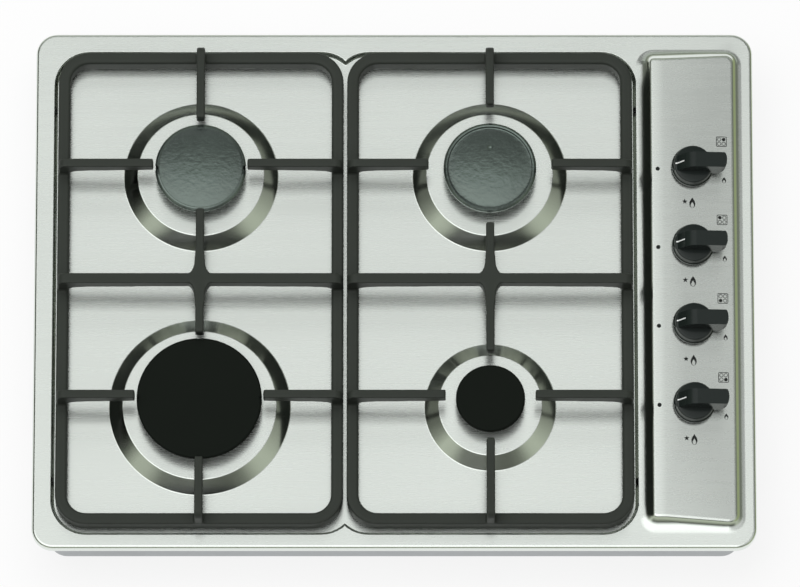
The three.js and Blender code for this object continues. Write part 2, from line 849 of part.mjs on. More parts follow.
function cup(burner) {
  const collarR = seatR(burner) - runningGap;
  const boreR = collarR - cupWall;
  const flangeTop = bossTopZ - sheet - seatGap;
  const flangeR = electrodeX(burner) + cupFlangeMargin;
  const floorZ = cupBottomZ + cupBottom;
  const body = solid(turned([
    [injectorTailR + seatGap, cupBottomZ],
    [collarR, cupBottomZ],
    [collarR, flangeTop - cupFlange],
    [flangeR, flangeTop - cupFlange],
    [flangeR, flangeTop],
    [collarR, flangeTop],
    [collarR, collarTopZ],
    [boreR, collarTopZ],
    [boreR, floorZ],
    [injectorTailR + seatGap, floorZ],
    [injectorTailR + seatGap, cupBottomZ],
  ], medium));
  const reach = collarR + overrun;
  const half = Math.min(cupWindowWidth, collarR) / 2;
  const windowZ = floorZ + seatGap;
  const cuts = [
    box(-reach, reach, -half, half, windowZ, windowZ + cupWindowHeight),
    rod(electrodeCeramicR + runningGap, trayDepth, rimTopZ + bossRise, tiny)
      .translate(electrodeX(burner), 0, 0),
  ];
  return body.subtract(union(cuts.map(solid)));
}

function injector() {
  const seatZ = cupBottomZ + cupBottom + seatGap;
  const tailZ = cupBottomZ - injectorTailLength;
  const hexTop = seatZ + injectorHexHeight;
  const hex = solid(rod(injectorHexR, seatZ, hexTop, hexagon));
  const shank = solid(turned([
    [injectorBoreR, tailZ],
    [injectorTailR, tailZ],
    [injectorTailR, hexTop],
    [injectorNozzleR, hexTop],
    [injectorBoreR, hexTop + injectorNozzleHeight],
    [injectorBoreR, tailZ],
  ], tiny));
  const bore = solid(rod(injectorBoreR, tailZ - overrun, capTopZ, tiny));
  return hex.add(shank).subtract(bore);
}

// The electrode's collar hangs under the cup's flange and its pin ends below the cap.
function electrode() {
  const collarTop = bossTopZ - sheet - seatGap - cupFlange - seatGap;
  const collarBottom = collarTop - electrodeCollarHeight;
  const ceramicTop = bossTopZ + electrodeRise;
  return turned([
    [0, collarBottom - electrodeTailLength],
    [electrodeCeramicR, collarBottom - electrodeTailLength],
    [electrodeCeramicR, collarBottom],
    [electrodeCollarR, collarBottom],
    [electrodeCollarR, collarTop],
    [electrodeCeramicR, collarTop],
    [electrodeCeramicR, ceramicTop],
    [electrodePinR, ceramicTop + electrodeShoulder],
    [electrodePinR, ceramicTop + electrodePinLength],
    [0, ceramicTop + electrodePinLength],
  ], hexagon);
}

for (const burner of burners) {
  const group = new THREE.Group();
  group.position.set(placeOf(burner).x, placeOf(burner).y, 0);
  cooktop.add(group);
  node(`burner_cap_${burner.name}`, cap(burner), enamel, group);
  node(`burner_head_${burner.name}`, head(burner), aluminium, group);
  node(`burner_cup_${burner.name}`, cup(burner), aluminium, group);
  node(`injector_${burner.name}`, injector(), brass, group);
  const spark = node(`spark_electrode_${burner.name}`, electrode(), ceramic, group);
  spark.position.x = electrodeX(burner);
}

// ---------------------------------------------------------------- knobs and valves

// Side view of the grip bar: the back face leans in and the pointer's end slopes to its foot.
function gripSide(footZ, topZ) {
  return new THREE.Shape([
    vec(knobGripBack - knobGripUndercut, footZ),
    vec(knobGripBack, topZ),
    vec(-knobPointerCrest, topZ),
    vec(-knobPointerFoot, footZ),
  ]);
}

// Outline of the grip bar seen from above: square at the back, round at the pointer.
function gripOutline() {
  const half = knobGripWidth / 2;
  const shape = new THREE.Shape();
  shape.moveTo(knobGripBack + overrun, -half);
  shape.lineTo(knobGripBack + overrun, half);
  shape.absarc(half - knobPointerFoot, 0, half, quarterTurn, 3 * quarterTurn, false);
  return shape;
}

// A round skirt with a tall grip bar across it.
function knob() {
  const bandZ = knobLift + knobSkirtBand;
  const skirtTopZ = knobLift + knobSkirtHeight;
  const topZ = knobLift + knobHeight;
  const skirt = solid(turned([
    [0, knobLift],
    [knobSkirtR, knobLift],
    [knobSkirtR, bandZ],
    [knobSkirtTopR, skirtTopZ],
    [0, skirtTopZ],
  ], medium));
  const options = { depth: topZ, bevelEnabled: false, curveSegments: cornerSteps };
  const plan = new THREE.ExtrudeGeometry(gripOutline(), options);
  const side = extrudedAlongY(gripSide(bandZ, topZ), knobGripWidth + overrun);
  const handle = solid(plan).intersect(solid(side));
  const bore = solid(rod(stemR + seatGap, 0, knobLift + knobBoreDepth + seatGap));
  return skirt.add(handle).subtract(bore);
}

const bodyTop = -valveNeckTop - valveNeckLength;
const chamberTop = bodyTop - valveRoof;
const plugTop = chamberTop - seatGap;
const stemTop = knobLift + knobBoreDepth;
const stemBottom = plugTop - stemEngagement;
const plugSocketDepth = stemEngagement + knobPush + runningGap;
const chamberR = plugR + seatGap;

function valveBody() {
  const chamberBottom = plugTop - plugLength - seatGap;
  const low = chamberR - plugLength * plugTaper;
  const body = solid(turned([
    [0, bodyTop - valveBodyLength],
    [valveBodyR, bodyTop - valveBodyLength],
    [valveBodyR, bodyTop],
    [valveNeckR, bodyTop],
    [valveNeckR, -valveNeckTop],
    [stemR + runningGap, -valveNeckTop],
    [stemR + runningGap, chamberTop],
    [chamberR, chamberTop],
    [low, chamberBottom],
    [0, chamberBottom],
  ], coarse));
  const ports = rod(valvePortR, -valvePortReach, valvePortReach, tiny)
    .rotateY(quarterTurn)
    .translate(0, 0, -valvePortDepth);
  const chamber = solid(rod(chamberR, chamberBottom, chamberTop, coarse));
  return body.add(solid(ports).subtract(chamber));
}

// Tapered plug that the stem turns. The stem slides in its socket when a knob is pressed.
function valvePlug() {
  const socket = plugTop - plugSocketDepth;
  return turned([
    [0, plugTop - plugLength],
    [plugR - plugLength * plugTaper, plugTop - plugLength],
    [plugR, plugTop],
    [stemR + seatGap, plugTop],
    [stemR + seatGap, socket],
    [0, socket],
  ], coarse);
}

for (const { name, group } of stations) {
  node(`knob_${name}`, knob(), knobPlastic, group);
  node(`valve_stem_${name}`, rod(stemR, stemBottom, stemTop), brass, group);
  node(`valve_plug_${name}`, valvePlug(), brass, group);
  node(`gas_valve_${name}`, valveBody(), brass, group);
}

// ---------------------------------------------------------------- gas pipes

const manifoldRearY = valveRearY + manifoldEndMargin + inletHexLength;
const manifoldFrontY = valveRearY - 3 * valvePitchY - manifoldEndMargin;

// A pipe with one flat side towards the valves, on two feet that stand on the tray's floor.
function manifold() {
  const section = new THREE.Shape();
  const turn = Math.acos(manifoldFlat / manifoldR);
  section.absarc(0, 0, manifoldR, turn - 2 * quarterTurn, 2 * quarterTurn - turn, false);
  const length = manifoldRearY - manifoldFrontY;
  const middleY = (manifoldRearY + manifoldFrontY) / 2;
  const bar = extrudedAlongY(section, length, tiny)
    .rotateY(panelTilt)
    .translate(manifoldPlace.x, middleY, manifoldPlace.z);
  const floor = sheet + seatGap;
  const footShape = (y) => [
    box(
      manifoldPlace.x - manifoldFootThickness / 2, manifoldPlace.x + manifoldFootThickness / 2,
      y - manifoldFootWidth / 2, y + manifoldFootWidth / 2,
      floor, manifoldPlace.z,
    ),
    box(
      manifoldPlace.x - manifoldFootWidth, manifoldPlace.x + manifoldFootThickness / 2,
      y - manifoldFootWidth / 2, y + manifoldFootWidth / 2,
      floor, floor + manifoldFootThickness,
    ),
  ];
  const feet = [manifoldFrontY, manifoldRearY - manifoldFootWidth].flatMap((y) =>
    footShape(y + manifoldFootWidth / 2),
  );
  return union([bar, ...feet].map(solid));
}

node("gas_manifold", manifold(), aluminium);

// Inlet nipple, screwed on the manifold's rear end and led out through the tray's rear wall.
function inletNipple() {
  const start = manifoldRearY + seatGap;
  const end = trayBoxDepth / 2 + inletReach;
  const nipple = solid(turned([
    [inletBoreR, start],
    [inletR, start],
    [inletR, end - inletChamfer],
    [inletR - inletChamfer, end],
    [inletBoreR, end],
    [inletBoreR, start],
  ], coarse));
  const hex = solid(rod(inletHexR, start, start + inletHexLength, hexagon));
  const bore = solid(rod(inletBoreR, start - overrun, start + 2 * inletHexLength, coarse));
  return nipple.add(hex).subtract(bore);
}

const inlet = node("gas_inlet_nipple", inletNipple(), brass);
inlet.rotation.x = -quarterTurn;
inlet.position.set(manifoldPlace.x, 0, manifoldPlace.z);

// Each burner pipe leaves its valve to the left, runs over the tray's floor and rises
// under its burner to the injector's tail.
function burnerPipe(station) {
  const burner = burners.find((each) => each.name === station.name);
  const { x, y } = placeOf(burner);
  const port = (reach) =>
    new THREE.Vector3(-reach, 0, -valvePortDepth).applyMatrix4(station.group.matrix);
  const start = port(valvePortReach + seatGap);
  const bend = port(valvePortReach + 2 * pipeBendR);
  const down = new THREE.Vector3(bend.x - 3 * pipeBendR, start.y, pipeRunZ);
  const end = new THREE.Vector3(x, y, cupBottomZ - injectorTailLength - seatGap);
  const turn = new THREE.Vector3(x, y, pipeRunZ);
  const sameColumn = burner.x === "right";
  const corner = new THREE.Vector3(x + 3 * pipeBendR, start.y, pipeRunZ);
  const corners = sameColumn
    ? [start, bend, down, turn, end]
    : [start, bend, down, corner, turn, end];
  const bends = sameColumn
    ? [pipeBendR, pipeBendR, pipeRiserBendR]
    : [pipeBendR, pipeBendR, pipeBendR, pipeRiserBendR];
  return pipe(corners, bends, pipeR);
}

for (const station of stations) {
  node(`burner_pipe_${station.name}`, burnerPipe(station), aluminium);
}

// ---------------------------------------------------------------- spark module

function sparkModule() {
  const outline = centred(sparkModuleLength, sparkModuleDepth, 2 * sparkModuleEdge);
  const floor = sheet + seatGap;
  const top = floor + sparkModuleHeight;
  return loft([
    { points: rounded(outline), z: floor },
    { points: rounded(outline), z: top - sparkModuleEdge },
    { points: rounded(outline, sparkModuleEdge), z: top },
  ]);
}

node("spark_module", sparkModule().translate(sparkModuleX, sparkModuleY, 0), casePlastic);

export default cooktop;
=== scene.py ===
"""Dresses the CAD frame of a built-in gas cooktop: pressed steel, cast iron, enamel and knobs.

Metres. X runs to the right, Y to the rear and Z up, as in the CAD model.
"""

import math

import bmesh
import bpy
from bpy.props import FloatProperty, FloatVectorProperty, IntProperty, PointerProperty
from bpy.types import Operator, Panel, PropertyGroup
from mathutils import Matrix, Vector


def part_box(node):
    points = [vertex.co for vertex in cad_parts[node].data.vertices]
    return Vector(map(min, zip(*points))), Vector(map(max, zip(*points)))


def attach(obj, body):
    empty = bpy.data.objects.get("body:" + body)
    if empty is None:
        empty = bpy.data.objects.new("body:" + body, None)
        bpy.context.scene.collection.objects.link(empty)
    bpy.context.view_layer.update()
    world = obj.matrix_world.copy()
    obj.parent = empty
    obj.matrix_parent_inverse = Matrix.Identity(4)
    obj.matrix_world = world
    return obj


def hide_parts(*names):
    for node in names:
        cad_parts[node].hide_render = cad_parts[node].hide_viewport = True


bl_info = {
    "name": "Gas cooktop",
    "version": (1, 0, 0),
    "blender": (4, 5, 0),
    "location": "3D View > Sidebar > Cooktop",
    "description": "Builds the visible pieces of a gas cooktop on its CAD frame",
    "category": "Object",
}

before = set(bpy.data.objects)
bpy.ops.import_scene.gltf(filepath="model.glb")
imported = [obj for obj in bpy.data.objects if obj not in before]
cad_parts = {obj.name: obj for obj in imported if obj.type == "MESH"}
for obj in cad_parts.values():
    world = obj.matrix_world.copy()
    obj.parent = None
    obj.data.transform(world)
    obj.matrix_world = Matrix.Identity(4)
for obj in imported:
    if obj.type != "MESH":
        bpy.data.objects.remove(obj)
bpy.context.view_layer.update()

BURNERS = ("rear_left", "front_left", "rear_right", "front_right")
STATIONS = ("rear_right", "rear_left", "front_left", "front_right")  # the knobs, rear to front
BOSS_SIZE = dict(zip(BURNERS, ("medium", "large", "medium", "small")))
FLAME_PORTS = dict(zip(BURNERS, (22, 30, 22, 16)))
FINGER_TIP = dict(zip(BURNERS, (0.0378, 0.0513, 0.0493, 0.0359)))  # from a burner's middle
CAP_NOTCHES = {"rear_left": (0, 180), "front_left": (0, 90, 180, 270)}  # bearings in degrees
QUARTER_TURN = math.pi / 2
WHOLE_TURN = 2 * math.pi
WELD = 1e-6  # corners nearer than this are merged
NEAR = 1e-5  # how far a corner may lie from where it is looked for
CLEAR = 0.001  # how far a cutter reaches past what it cuts
SAME_WAY = 0.99999  # cosine above which a face counts as looking in a direction
SHARP_ANGLE = 32.0


def middle(node):
    """The middle of a CAD node's box."""
    low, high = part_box(node)
    return (low + high) / 2


def length(label, description, metres):
    """A length that a user can change."""
    return FloatProperty(
        name=label, description=description, default=metres, unit="LENGTH", precision=5
    )


def colour(label, description, value):
    """A colour that a user can change."""
    return FloatVectorProperty(
        name=label, description=description, default=value, subtype="COLOR", size=3, min=0, max=1
    )


PLATE_LOW, PLATE_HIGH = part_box("cooktop_plate")
TRAY_LOW, TRAY_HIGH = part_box("bottom_tray")
SUPPORT_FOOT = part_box("pan_support_left")[0].z


# ---------------------------------------------------------------- sizes and colours


class CooktopSizes(PropertyGroup):
    """Sizes of the pressed plate, the castings, the burners and the knobs."""

    plate_length: length("Plate length", "Along X", PLATE_HIGH.x - PLATE_LOW.x)
    plate_depth: length("Plate depth", "Along Y", PLATE_HIGH.y - PLATE_LOW.y)
    plate_corner: length("Plate corner", "Radius of the plate's corners", 0.017)
    sheet: length("Sheet", "Thickness of the steel sheet", 0.001)
    rim_bottom: length("Rim bottom", "Height of the folded edge's lower end", PLATE_LOW.z)
    rim_top: length("Rim top", "Height of the plate's border", 0.060)
    rim_edge: length("Rim edge", "Radius along the plate's border", 0.003)
    basin_depth: length("Basin depth", "From the border down to the basin's floor", 0.005)
    basin_run: length("Basin wall run", "Run of the basin's wall", 0.003)
    basin_corner: length("Basin corner", "Corner radius on the basin's floor", 0.026)
    basin_left: length("Basin left", "Left end of the basin's floor", -0.27225)
    basin_right: length("Basin right", "Right end of the basin's floor", 0.19325)
    basin_front: length("Basin front", "Front end of the basin's floor", -0.2017)
    basin_rear: length("Basin rear", "Rear end of the basin's floor", 0.198)
    basin_overlap: length("Basin overlap", "Overlap of the basin's two cells", 0.014)
    boss_medium: length("Medium boss", "Radius at the foot of the rear bosses", 0.0627)
    boss_large: length("Large boss", "Radius at the foot of the front left boss", 0.0733)
    boss_small: length("Small boss", "Radius at the foot of the front right boss", 0.0532)
    boss_rise: length("Boss rise", "Height of the bosses above the floor", 0.008)
    boss_run: length("Boss slope run", "Width of the sloping ring round a boss", 0.0122)
    panel_left: length("Panel left", "Foot of the panel's left side", 0.1957)
    panel_right: length("Panel right", "Foot of the panel's right side", 0.2814)
    panel_front: length("Panel front", "Foot of the panel's front side", -0.204)
    panel_rear: length("Panel rear", "Foot of the panel's rear side", 0.2025)
    panel_corner: length("Panel corner", "Corner radius at the panel's foot", 0.014)
    panel_rise: length("Panel rise", "Height of the panel's level strip", 0.0125)
    strip_end: length("Strip end", "Where the panel's top begins to fall", 0.2175)
    knob_axis: length("Knob axis", "Place of the knobs along X", 0.240)
    knob_rear: length("Rear knob", "Place of the rear knob along Y", 0.0987)
    knob_pitch: length("Knob pitch", "From knob to knob", 0.066)
    panel_fall: FloatProperty(
        name="Panel fall",
        description="Angle of the panel's falling top",
        default=math.atan2(3.9, 55.5),
        subtype="ANGLE",
    )
    bar_width: length("Bar width", "Width of a pan support's frame", 0.0095)
    bar_height: length("Bar height", "Height of a pan support's frame", 0.016)
    support_corner: length("Support corner", "Outer corner radius of a pan support", 0.025)
    finger_width: length("Finger width", "Width of a finger", 0.0067)
    cross_width: length("Cross width", "Width of the bar across the middle", 0.0084)
    finger_depth: length("Finger depth", "Height of a finger's section", 0.013)
    tip_depth: length("Tip depth", "Height of a finger's section at its tip", 0.0105)
    casting_voxel: length("Casting voxel", "Voxel of the castings' blended surface", 0.00105)
    cap_overhang: length("Cap overhang", "From a head's wall out to its cap's edge", 0.0067)
    cap_edge: length("Cap edge", "Rounding of a cap's upper edge", 0.0019)
    cap_crown: length("Cap crown", "How far the glossy caps rise to their middle", 0.0012)
    notch_radius: length("Notch radius", "Radius of the notches in a cap's edge", 0.0022)
    knob_skirt: length("Knob skirt", "Radius of a knob's skirt", 0.0168)
    knob_grip: length("Knob grip", "Width of a knob's grip bar", 0.0124)
    print_height: length("Print height", "How far the printed marks stand up", 0.00006)
    arc_steps: IntProperty(name="Arc steps", description="Edges in a round corner", default=10)


class CooktopColours(PropertyGroup):
    """Colours of the finishes."""

    steel: colour("Steel", "Brushed stainless steel", (0.760, 0.806, 0.762))
    galvanised: colour("Galvanised", "Tray and clamps", (0.42, 0.44, 0.45))
    iron: colour("Cast iron", "Matt enamel on the castings", (0.029, 0.0335, 0.028))
    gloss: colour("Gloss enamel", "Enamel on the rear caps", (0.020, 0.025, 0.023))
    matt: colour("Matt enamel", "Enamel on the front caps", (0.0075, 0.0095, 0.0075))
    aluminium: colour("Aluminium", "Burner heads and cups", (0.115, 0.12, 0.115))
    pipe: colour("Pipe", "Gas pipes and manifold", (0.60, 0.61, 0.62))
    brass: colour("Brass", "Valves, injectors and inlet", (0.56, 0.39, 0.15))
    ceramic: colour("Ceramic", "Electrodes", (0.78, 0.75, 0.68))
    rubber: colour("Rubber", "Feet and seal", (0.016, 0.016, 0.016))
    knob: colour("Knob", "Gloss plastic of the knobs", (0.0120, 0.0170, 0.0150))
    case: colour("Case", "Plastic case of the spark module", (0.62, 0.62, 0.58))
    ink: colour("Ink", "Printed marks", (0.006, 0.008, 0.007))
    index: colour("Index", "Index line on the knobs", (0.86, 0.88, 0.86))
    backdrop: colour("Backdrop", "Floor under the object", (0.86, 0.86, 0.86))


def sizes():
    return bpy.context.scene.cooktop_sizes


def colours():
    return bpy.context.scene.cooktop_colours


# ---------------------------------------------------------------- bmesh helpers


def mesh_of(bm, name):
    """Turns a bmesh into a mesh and frees it."""
    mesh = bpy.data.meshes.new(name)
    bm.to_mesh(mesh)
    bm.free()
    return mesh


def in_scene(name, data):
    """A mesh, a light or a camera as an object in the scene."""
    made = bpy.data.objects.new(name, data)
    bpy.context.scene.collection.objects.link(made)
    return made


def finished(name, bm, body, slot, stands_for=(), sharp=SHARP_ANGLE):
    """Turns a bmesh into a piece that rides on a CAD body."""
    if not bm.faces:
        raise RuntimeError(f"{name} has no faces")
    bmesh.ops.remove_doubles(bm, verts=bm.verts[:], dist=WELD)
    bmesh.ops.recalc_face_normals(bm, faces=bm.faces[:])
    return dressed(name, mesh_of(bm, name), body, slot, stands_for, sharp)


def dressed(name, mesh, body, slot, stands_for=(), sharp=SHARP_ANGLE):
    """Puts a mesh in the scene with its finish on its body, and hides the CAD nodes it stands for.
    """
    mesh.materials.append(finish_named(slot))
    piece = reshaded(in_scene(name, mesh), sharp)
    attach(piece, body)
    if stands_for:
        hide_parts(*stands_for)
    return piece


def baked(piece):
    """Turns a piece's modifiers into its mesh."""
    graph = bpy.context.evaluated_depsgraph_get()
    mesh = bpy.data.meshes.new_from_object(piece.evaluated_get(graph), depsgraph=graph)
    piece.modifiers.clear()
    piece.data = mesh


def reworked(piece, *steps):
    """Runs steps that each take a bmesh over a piece's mesh."""
    bm = bmesh.new()
    bm.from_mesh(piece.data)
    for step in steps:
        step(bm)
    bm.to_mesh(piece.data)
    bm.free()


def reshaded(piece, sharp=SHARP_ANGLE):
    piece.data.shade_smooth()
    piece.data.set_sharp_from_angle(angle=math.radians(sharp))
    return piece


def even_shading(piece, flats_first=False):
    """Weighted normals. With flats_first, marked flats decide the normals along their edges."""
    modifier = piece.modifiers.new("Even shading", "WEIGHTED_NORMAL")
    modifier.keep_sharp = True
    modifier.use_face_influence = flats_first


def soft_edges(piece, width, segments=2, angle=40.0):
    modifier = piece.modifiers.new("Soft edges", "BEVEL")
    modifier.width = width
    modifier.segments = segments
    modifier.limit_method = "ANGLE"
    modifier.angle_limit = math.radians(angle)
    even_shading(piece)


def thickened(piece, sheet):
    """Gives a shell the thickness of its sheet, inwards."""
    modifier = piece.modifiers.new("Sheet", "SOLIDIFY")
    modifier.thickness = sheet
    modifier.offset = -1
    modifier.use_even_offset = True
    baked(piece)


def combined(piece, other_bm, operation):
    """Adds a closed shape to a piece, or cuts it out of the piece."""
    bmesh.ops.recalc_face_normals(other_bm, faces=other_bm.faces[:])
    other = in_scene("other", mesh_of(other_bm, "other"))
    modifier = piece.modifiers.new("Combined", "BOOLEAN")
    modifier.operation = operation
    modifier.solver = "EXACT"
    modifier.object = other
    bpy.context.view_layer.update()
    baked(piece)
    bpy.data.objects.remove(other)
    return piece


def cut_away(piece, cutter_bm):
    return combined(piece, cutter_bm, "DIFFERENCE")


def joined(bm, part):
    """Adds another bmesh's geometry to bm."""
    mesh = mesh_of(part, "part")
    bm.from_mesh(mesh)
    bpy.data.meshes.remove(mesh)


def whole(bm):
    """All of a bmesh, as a tool's geom."""
    return bm.verts[:] + bm.edges[:] + bm.faces[:]


def open_edges(bm):
    return [edge for edge in bm.edges if edge.is_boundary]


def moved(bm, matrix):
    """Moves a whole bmesh to its place."""
    bmesh.ops.transform(bm, matrix=matrix, verts=bm.verts[:])
    return bm


def over(place, height=0.0):
    """Puts a shape drawn round the origin over a place."""
    return Matrix.Translation((place.x, place.y, height))


def bevelled(bm, geom, radius, steps, affect="VERTICES"):
    bmesh.ops.bevel(
        bm,
        geom=geom,
        offset=radius,
        offset_type="OFFSET",
        segments=steps,
        profile=0.5,
        affect=affect,
        material=-1,
    )


def drawn_out(bm, faces, way, closed=True):
    """Draws faces out along a vector. Where closed, they also stay behind as the other end."""
    grown = bmesh.ops.extrude_face_region(bm, geom=faces, use_keep_orig=closed)
    verts = [item for item in grown["geom"] if isinstance(item, bmesh.types.BMVert)]
    bmesh.ops.translate(bm, verts=verts, vec=way)


def turn_faces(bm, up):
    """Makes the faces of an open shell look up, where up is 1, or down, where it is -1."""
    bmesh.ops.recalc_face_normals(bm, faces=bm.faces[:])
    if up * sum(f.normal.z * f.calc_area() for f in bm.faces) < 0:
        bmesh.ops.reverse_faces(bm, faces=bm.faces[:])


def rounded_face(bm, x0, x1, y0, y1, z, radius, steps=None):
    """One face in the shape of a rectangle with round corners. It looks up."""
    corners = [bm.verts.new((x, y, z)) for x, y in ((x0, y0), (x1, y0), (x1, y1), (x0, y1))]
    bm.faces.new(corners)
    before = set(bm.faces) - {corners[0].link_faces[0]}
    bevelled(bm, corners, radius, steps or sizes().arc_steps)
    return next(face for face in bm.faces if face not in before)


def stepped(bm, face, steps):
    """Insets a face again and again: each step goes in and up along the face's normal."""
    for run, rise in steps:
        bmesh.ops.inset_region(
            bm,
            faces=[face],
            thickness=run,
            depth=rise,
            use_even_offset=True,
            use_boundary=True,
        )


def quarter_round(radius, steps=5):
    """Steps up and over a convex edge, from upright to level."""
    angles = [QUARTER_TURN * i / steps for i in range(steps + 1)]
    points = [(radius * (1 - math.cos(a)), radius * math.sin(a)) for a in angles]
    return differences(points)


def differences(points):
    return [(b[0] - a[0], b[1] - a[1]) for a, b in zip(points, points[1:])]


def ogee(run, rise, radius, steps=5):
    """Steps up a pressed slope, with a fillet at its foot and a rounding at its crest."""
    angle = math.atan2(rise - 2 * radius, run) + math.asin(
        2 * radius / math.hypot(run, rise - 2 * radius)
    )
    arc = [angle * i / steps for i in range(steps + 1)]
    foot = [(radius * math.sin(a), radius * (1 - math.cos(a))) for a in arc]
    crest = [(run - x, rise - z) for x, z in reversed(foot)]
    return differences(foot + crest)


def fill_level(bm, height):
    """Fills the area between the open outlines that lie at one height."""
    edges = [
        edge
        for edge in bm.edges
        if len(edge.link_faces) < 2 and all(abs(v.co.z - height) < 2 * WELD for v in edge.verts)
    ]
    bmesh.ops.triangle_fill(bm, edges=edges, use_beauty=True, normal=(0, 0, 1))


def opened(bm, face):
    bmesh.ops.delete(bm, geom=[face], context="FACES_ONLY")


def ring_bar(low, high, height, width, corner, edge):
    """A bar round a rectangle with round corners. Its upper edges are rounded."""
    bm = bmesh.new()
    face = rounded_face(bm, low.x, high.x, low.y, high.y, low.z, corner)
    over_edge = quarter_round(edge, 2)
    back_down = [(rise, -run) for run, rise in reversed(over_edge)]
    stepped(bm, face, [(0.0, height - edge)] + over_edge)
    stepped(bm, face, [(width - 2 * edge, 0.0)])
    stepped(bm, face, back_down + [(0.0, edge - height)])
    opened(bm, face)
    fill_level(bm, low.z)
    return bm


def placed(points, x, z):
    """Points that are given from a corner of a profile, at that corner's place."""
    return [(x + run, z + rise) for run, rise in points]


def turned(profile, segments, matrix=None):
    """A body of revolution about Z from [radius, z] pairs."""
    bm = bmesh.new()
    verts = [bm.verts.new((r, 0, z)) for r, z in profile]
    edges = [bm.edges.new(pair) for pair in zip(verts, verts[1:])]
    bmesh.ops.spin(
        bm,
        geom=verts + edges,
        cent=(0, 0, 0),
        axis=(0, 0, 1),
        angle=WHOLE_TURN,
        steps=segments,
        use_merge=True,
    )
    bmesh.ops.remove_doubles(bm, verts=bm.verts[:], dist=WELD)
    return moved(bm, matrix) if matrix else bm


def rod(radius, low, high, segments, matrix=None):
    """A round rod along Z."""
    return turned([(0, low), (radius, low), (radius, high), (0, high)], segments, matrix)


def prism(outline, height, matrix=None, roundings=None, steps=5):
    """An outline in XY, with some of its corners rounded, extruded up along Z."""
    bm = bmesh.new()
    verts = [bm.verts.new((x, y, 0)) for x, y in outline]
    bm.faces.new(verts)
    for index, radius in (roundings or {}).items():
        bevelled(bm, [verts[index]], radius, steps)
    drawn_out(bm, bm.faces[:], (0, 0, height))
    bmesh.ops.recalc_face_normals(bm, faces=bm.faces[:])
    return moved(bm, matrix) if matrix else bm


def upright(angle, place, width):
    """Lays a side view, drawn in XY, upright along a direction and centres its width."""
    return (
        Matrix.Translation(place)
        @ Matrix.Rotation(angle, 4, "Z")
        @ Matrix.Translation((0, width / 2, 0))
        @ Matrix.Rotation(QUARTER_TURN, 4, "X")
    )


def station_matrix(index):
    """Where a knob sits: its local Z is square to the panel's falling top."""
    s = sizes()
    drop = (s.knob_axis - s.strip_end) * math.tan(s.panel_fall)
    place = (s.knob_axis, s.knob_rear - index * s.knob_pitch, s.rim_top + s.panel_rise - drop)
    return Matrix.Translation(place) @ Matrix.Rotation(s.panel_fall, 4, "Y")


# ---------------------------------------------------------------- shader helpers


class Tree:
    """Adds nodes to a node tree and links them by name."""

    def __init__(self, tree):
        self.tree = tree
        self.nodes = tree.nodes
        self.nodes.clear()

    def add(self, kind, settings=None, **inputs):
        node = self.nodes.new(kind)
        for key, value in (settings or {}).items():
            setattr(node, key, value)
        for key, value in inputs.items():
            self.feed(node, key.replace("_", " "), value)
        return node

    def feed(self, node, name, value):
        socket = node.inputs[name]
        if isinstance(value, bpy.types.NodeSocket):
            self.tree.links.new(value, socket)
        else:
            socket.default_value = value

    def calc(self, operation, a, b, clamp=False):
        node = self.add("ShaderNodeMath", {"operation": operation, "use_clamp": clamp})
        self.feed(node, 0, a)
        self.feed(node, 1, b)
        return node.outputs[0]

    def plus(self, a, b):
        return self.calc("ADD", a, b)

    def times(self, a, b):
        return self.calc("MULTIPLY", a, b)

    def about_zero(self, value):
        """Shifts a noise, which is 0.5 on average, to 0 on average."""
        return self.calc("SUBTRACT", value, 0.5)

    def vector(self, operation, a, b, second=1):
        node = self.add("ShaderNodeVectorMath", {"operation": operation})
        self.feed(node, 0, a)
        self.feed(node, second, b)
        return node.outputs[0]

    def blend(self, factor, a, b):
        node = self.add("ShaderNodeMix", {"data_type": "RGBA"})
        self.feed(node, 0, factor)
        self.feed(node, 6, a)
        self.feed(node, 7, b)
        return node.outputs[2]

    def ramp(self, value, stops):
        node = self.nodes.new("ShaderNodeValToRGB")
        self.feed(node, "Fac", value)
        elements = node.color_ramp.elements
        elements[0].position, elements[1].position = stops[0][0], stops[-1][0]
        for place, _ in stops[1:-1]:
            elements.new(place)
        for element, (_, shade) in zip(elements, stops):
            element.color = (*shade, 1) if isinstance(shade, tuple) else (shade,) * 3 + (1,)
        return node.outputs["Color"]

    def noise(self, scale, detail=3.0, stretch=(1, 1, 1), roughness=0.5):
        place = self.nodes.new("ShaderNodeTexCoord").outputs["Object"]
        mapping = self.add("ShaderNodeMapping", Vector=place, Scale=stretch)
        node = self.add(
            "ShaderNodeTexNoise",
            Vector=mapping.outputs[0],
            Scale=scale,
            Detail=detail,
            Roughness=roughness,
        )
        return node.outputs["Fac"]

    def effect(self, name, maker, **inputs):
        """Places a node group, which is made on its first use."""
        group = bpy.data.node_groups.get(name) or maker(name)
        return self.add("ShaderNodeGroup", {"node_tree": group}, **inputs)

    def show(self, shader, output="ShaderNodeOutputMaterial"):
        """Makes a shader the surface of the material, or of the world."""
        out = self.nodes.new(output)
        self.tree.links.new(shader.outputs[0], out.inputs["Surface"])


def new_material(name):
    """A new material and its node tree."""
    material = bpy.data.materials.new(name)
    material.use_nodes = True
    return material, Tree(material.node_tree)


def principled(name):
    """A new material with its Principled shader."""
    material, t = new_material(name)
    shader = t.nodes.new("ShaderNodeBsdfPrincipled")
    t.show(shader)
    return material, t, shader


def raised_by(t, shader, height, strength, distance):
    bump = t.add("ShaderNodeBump", Height=height, Strength=strength, Distance=distance)
    t.feed(shader, "Normal", bump.outputs[0])


# ---------------------------------------------------------------- effects


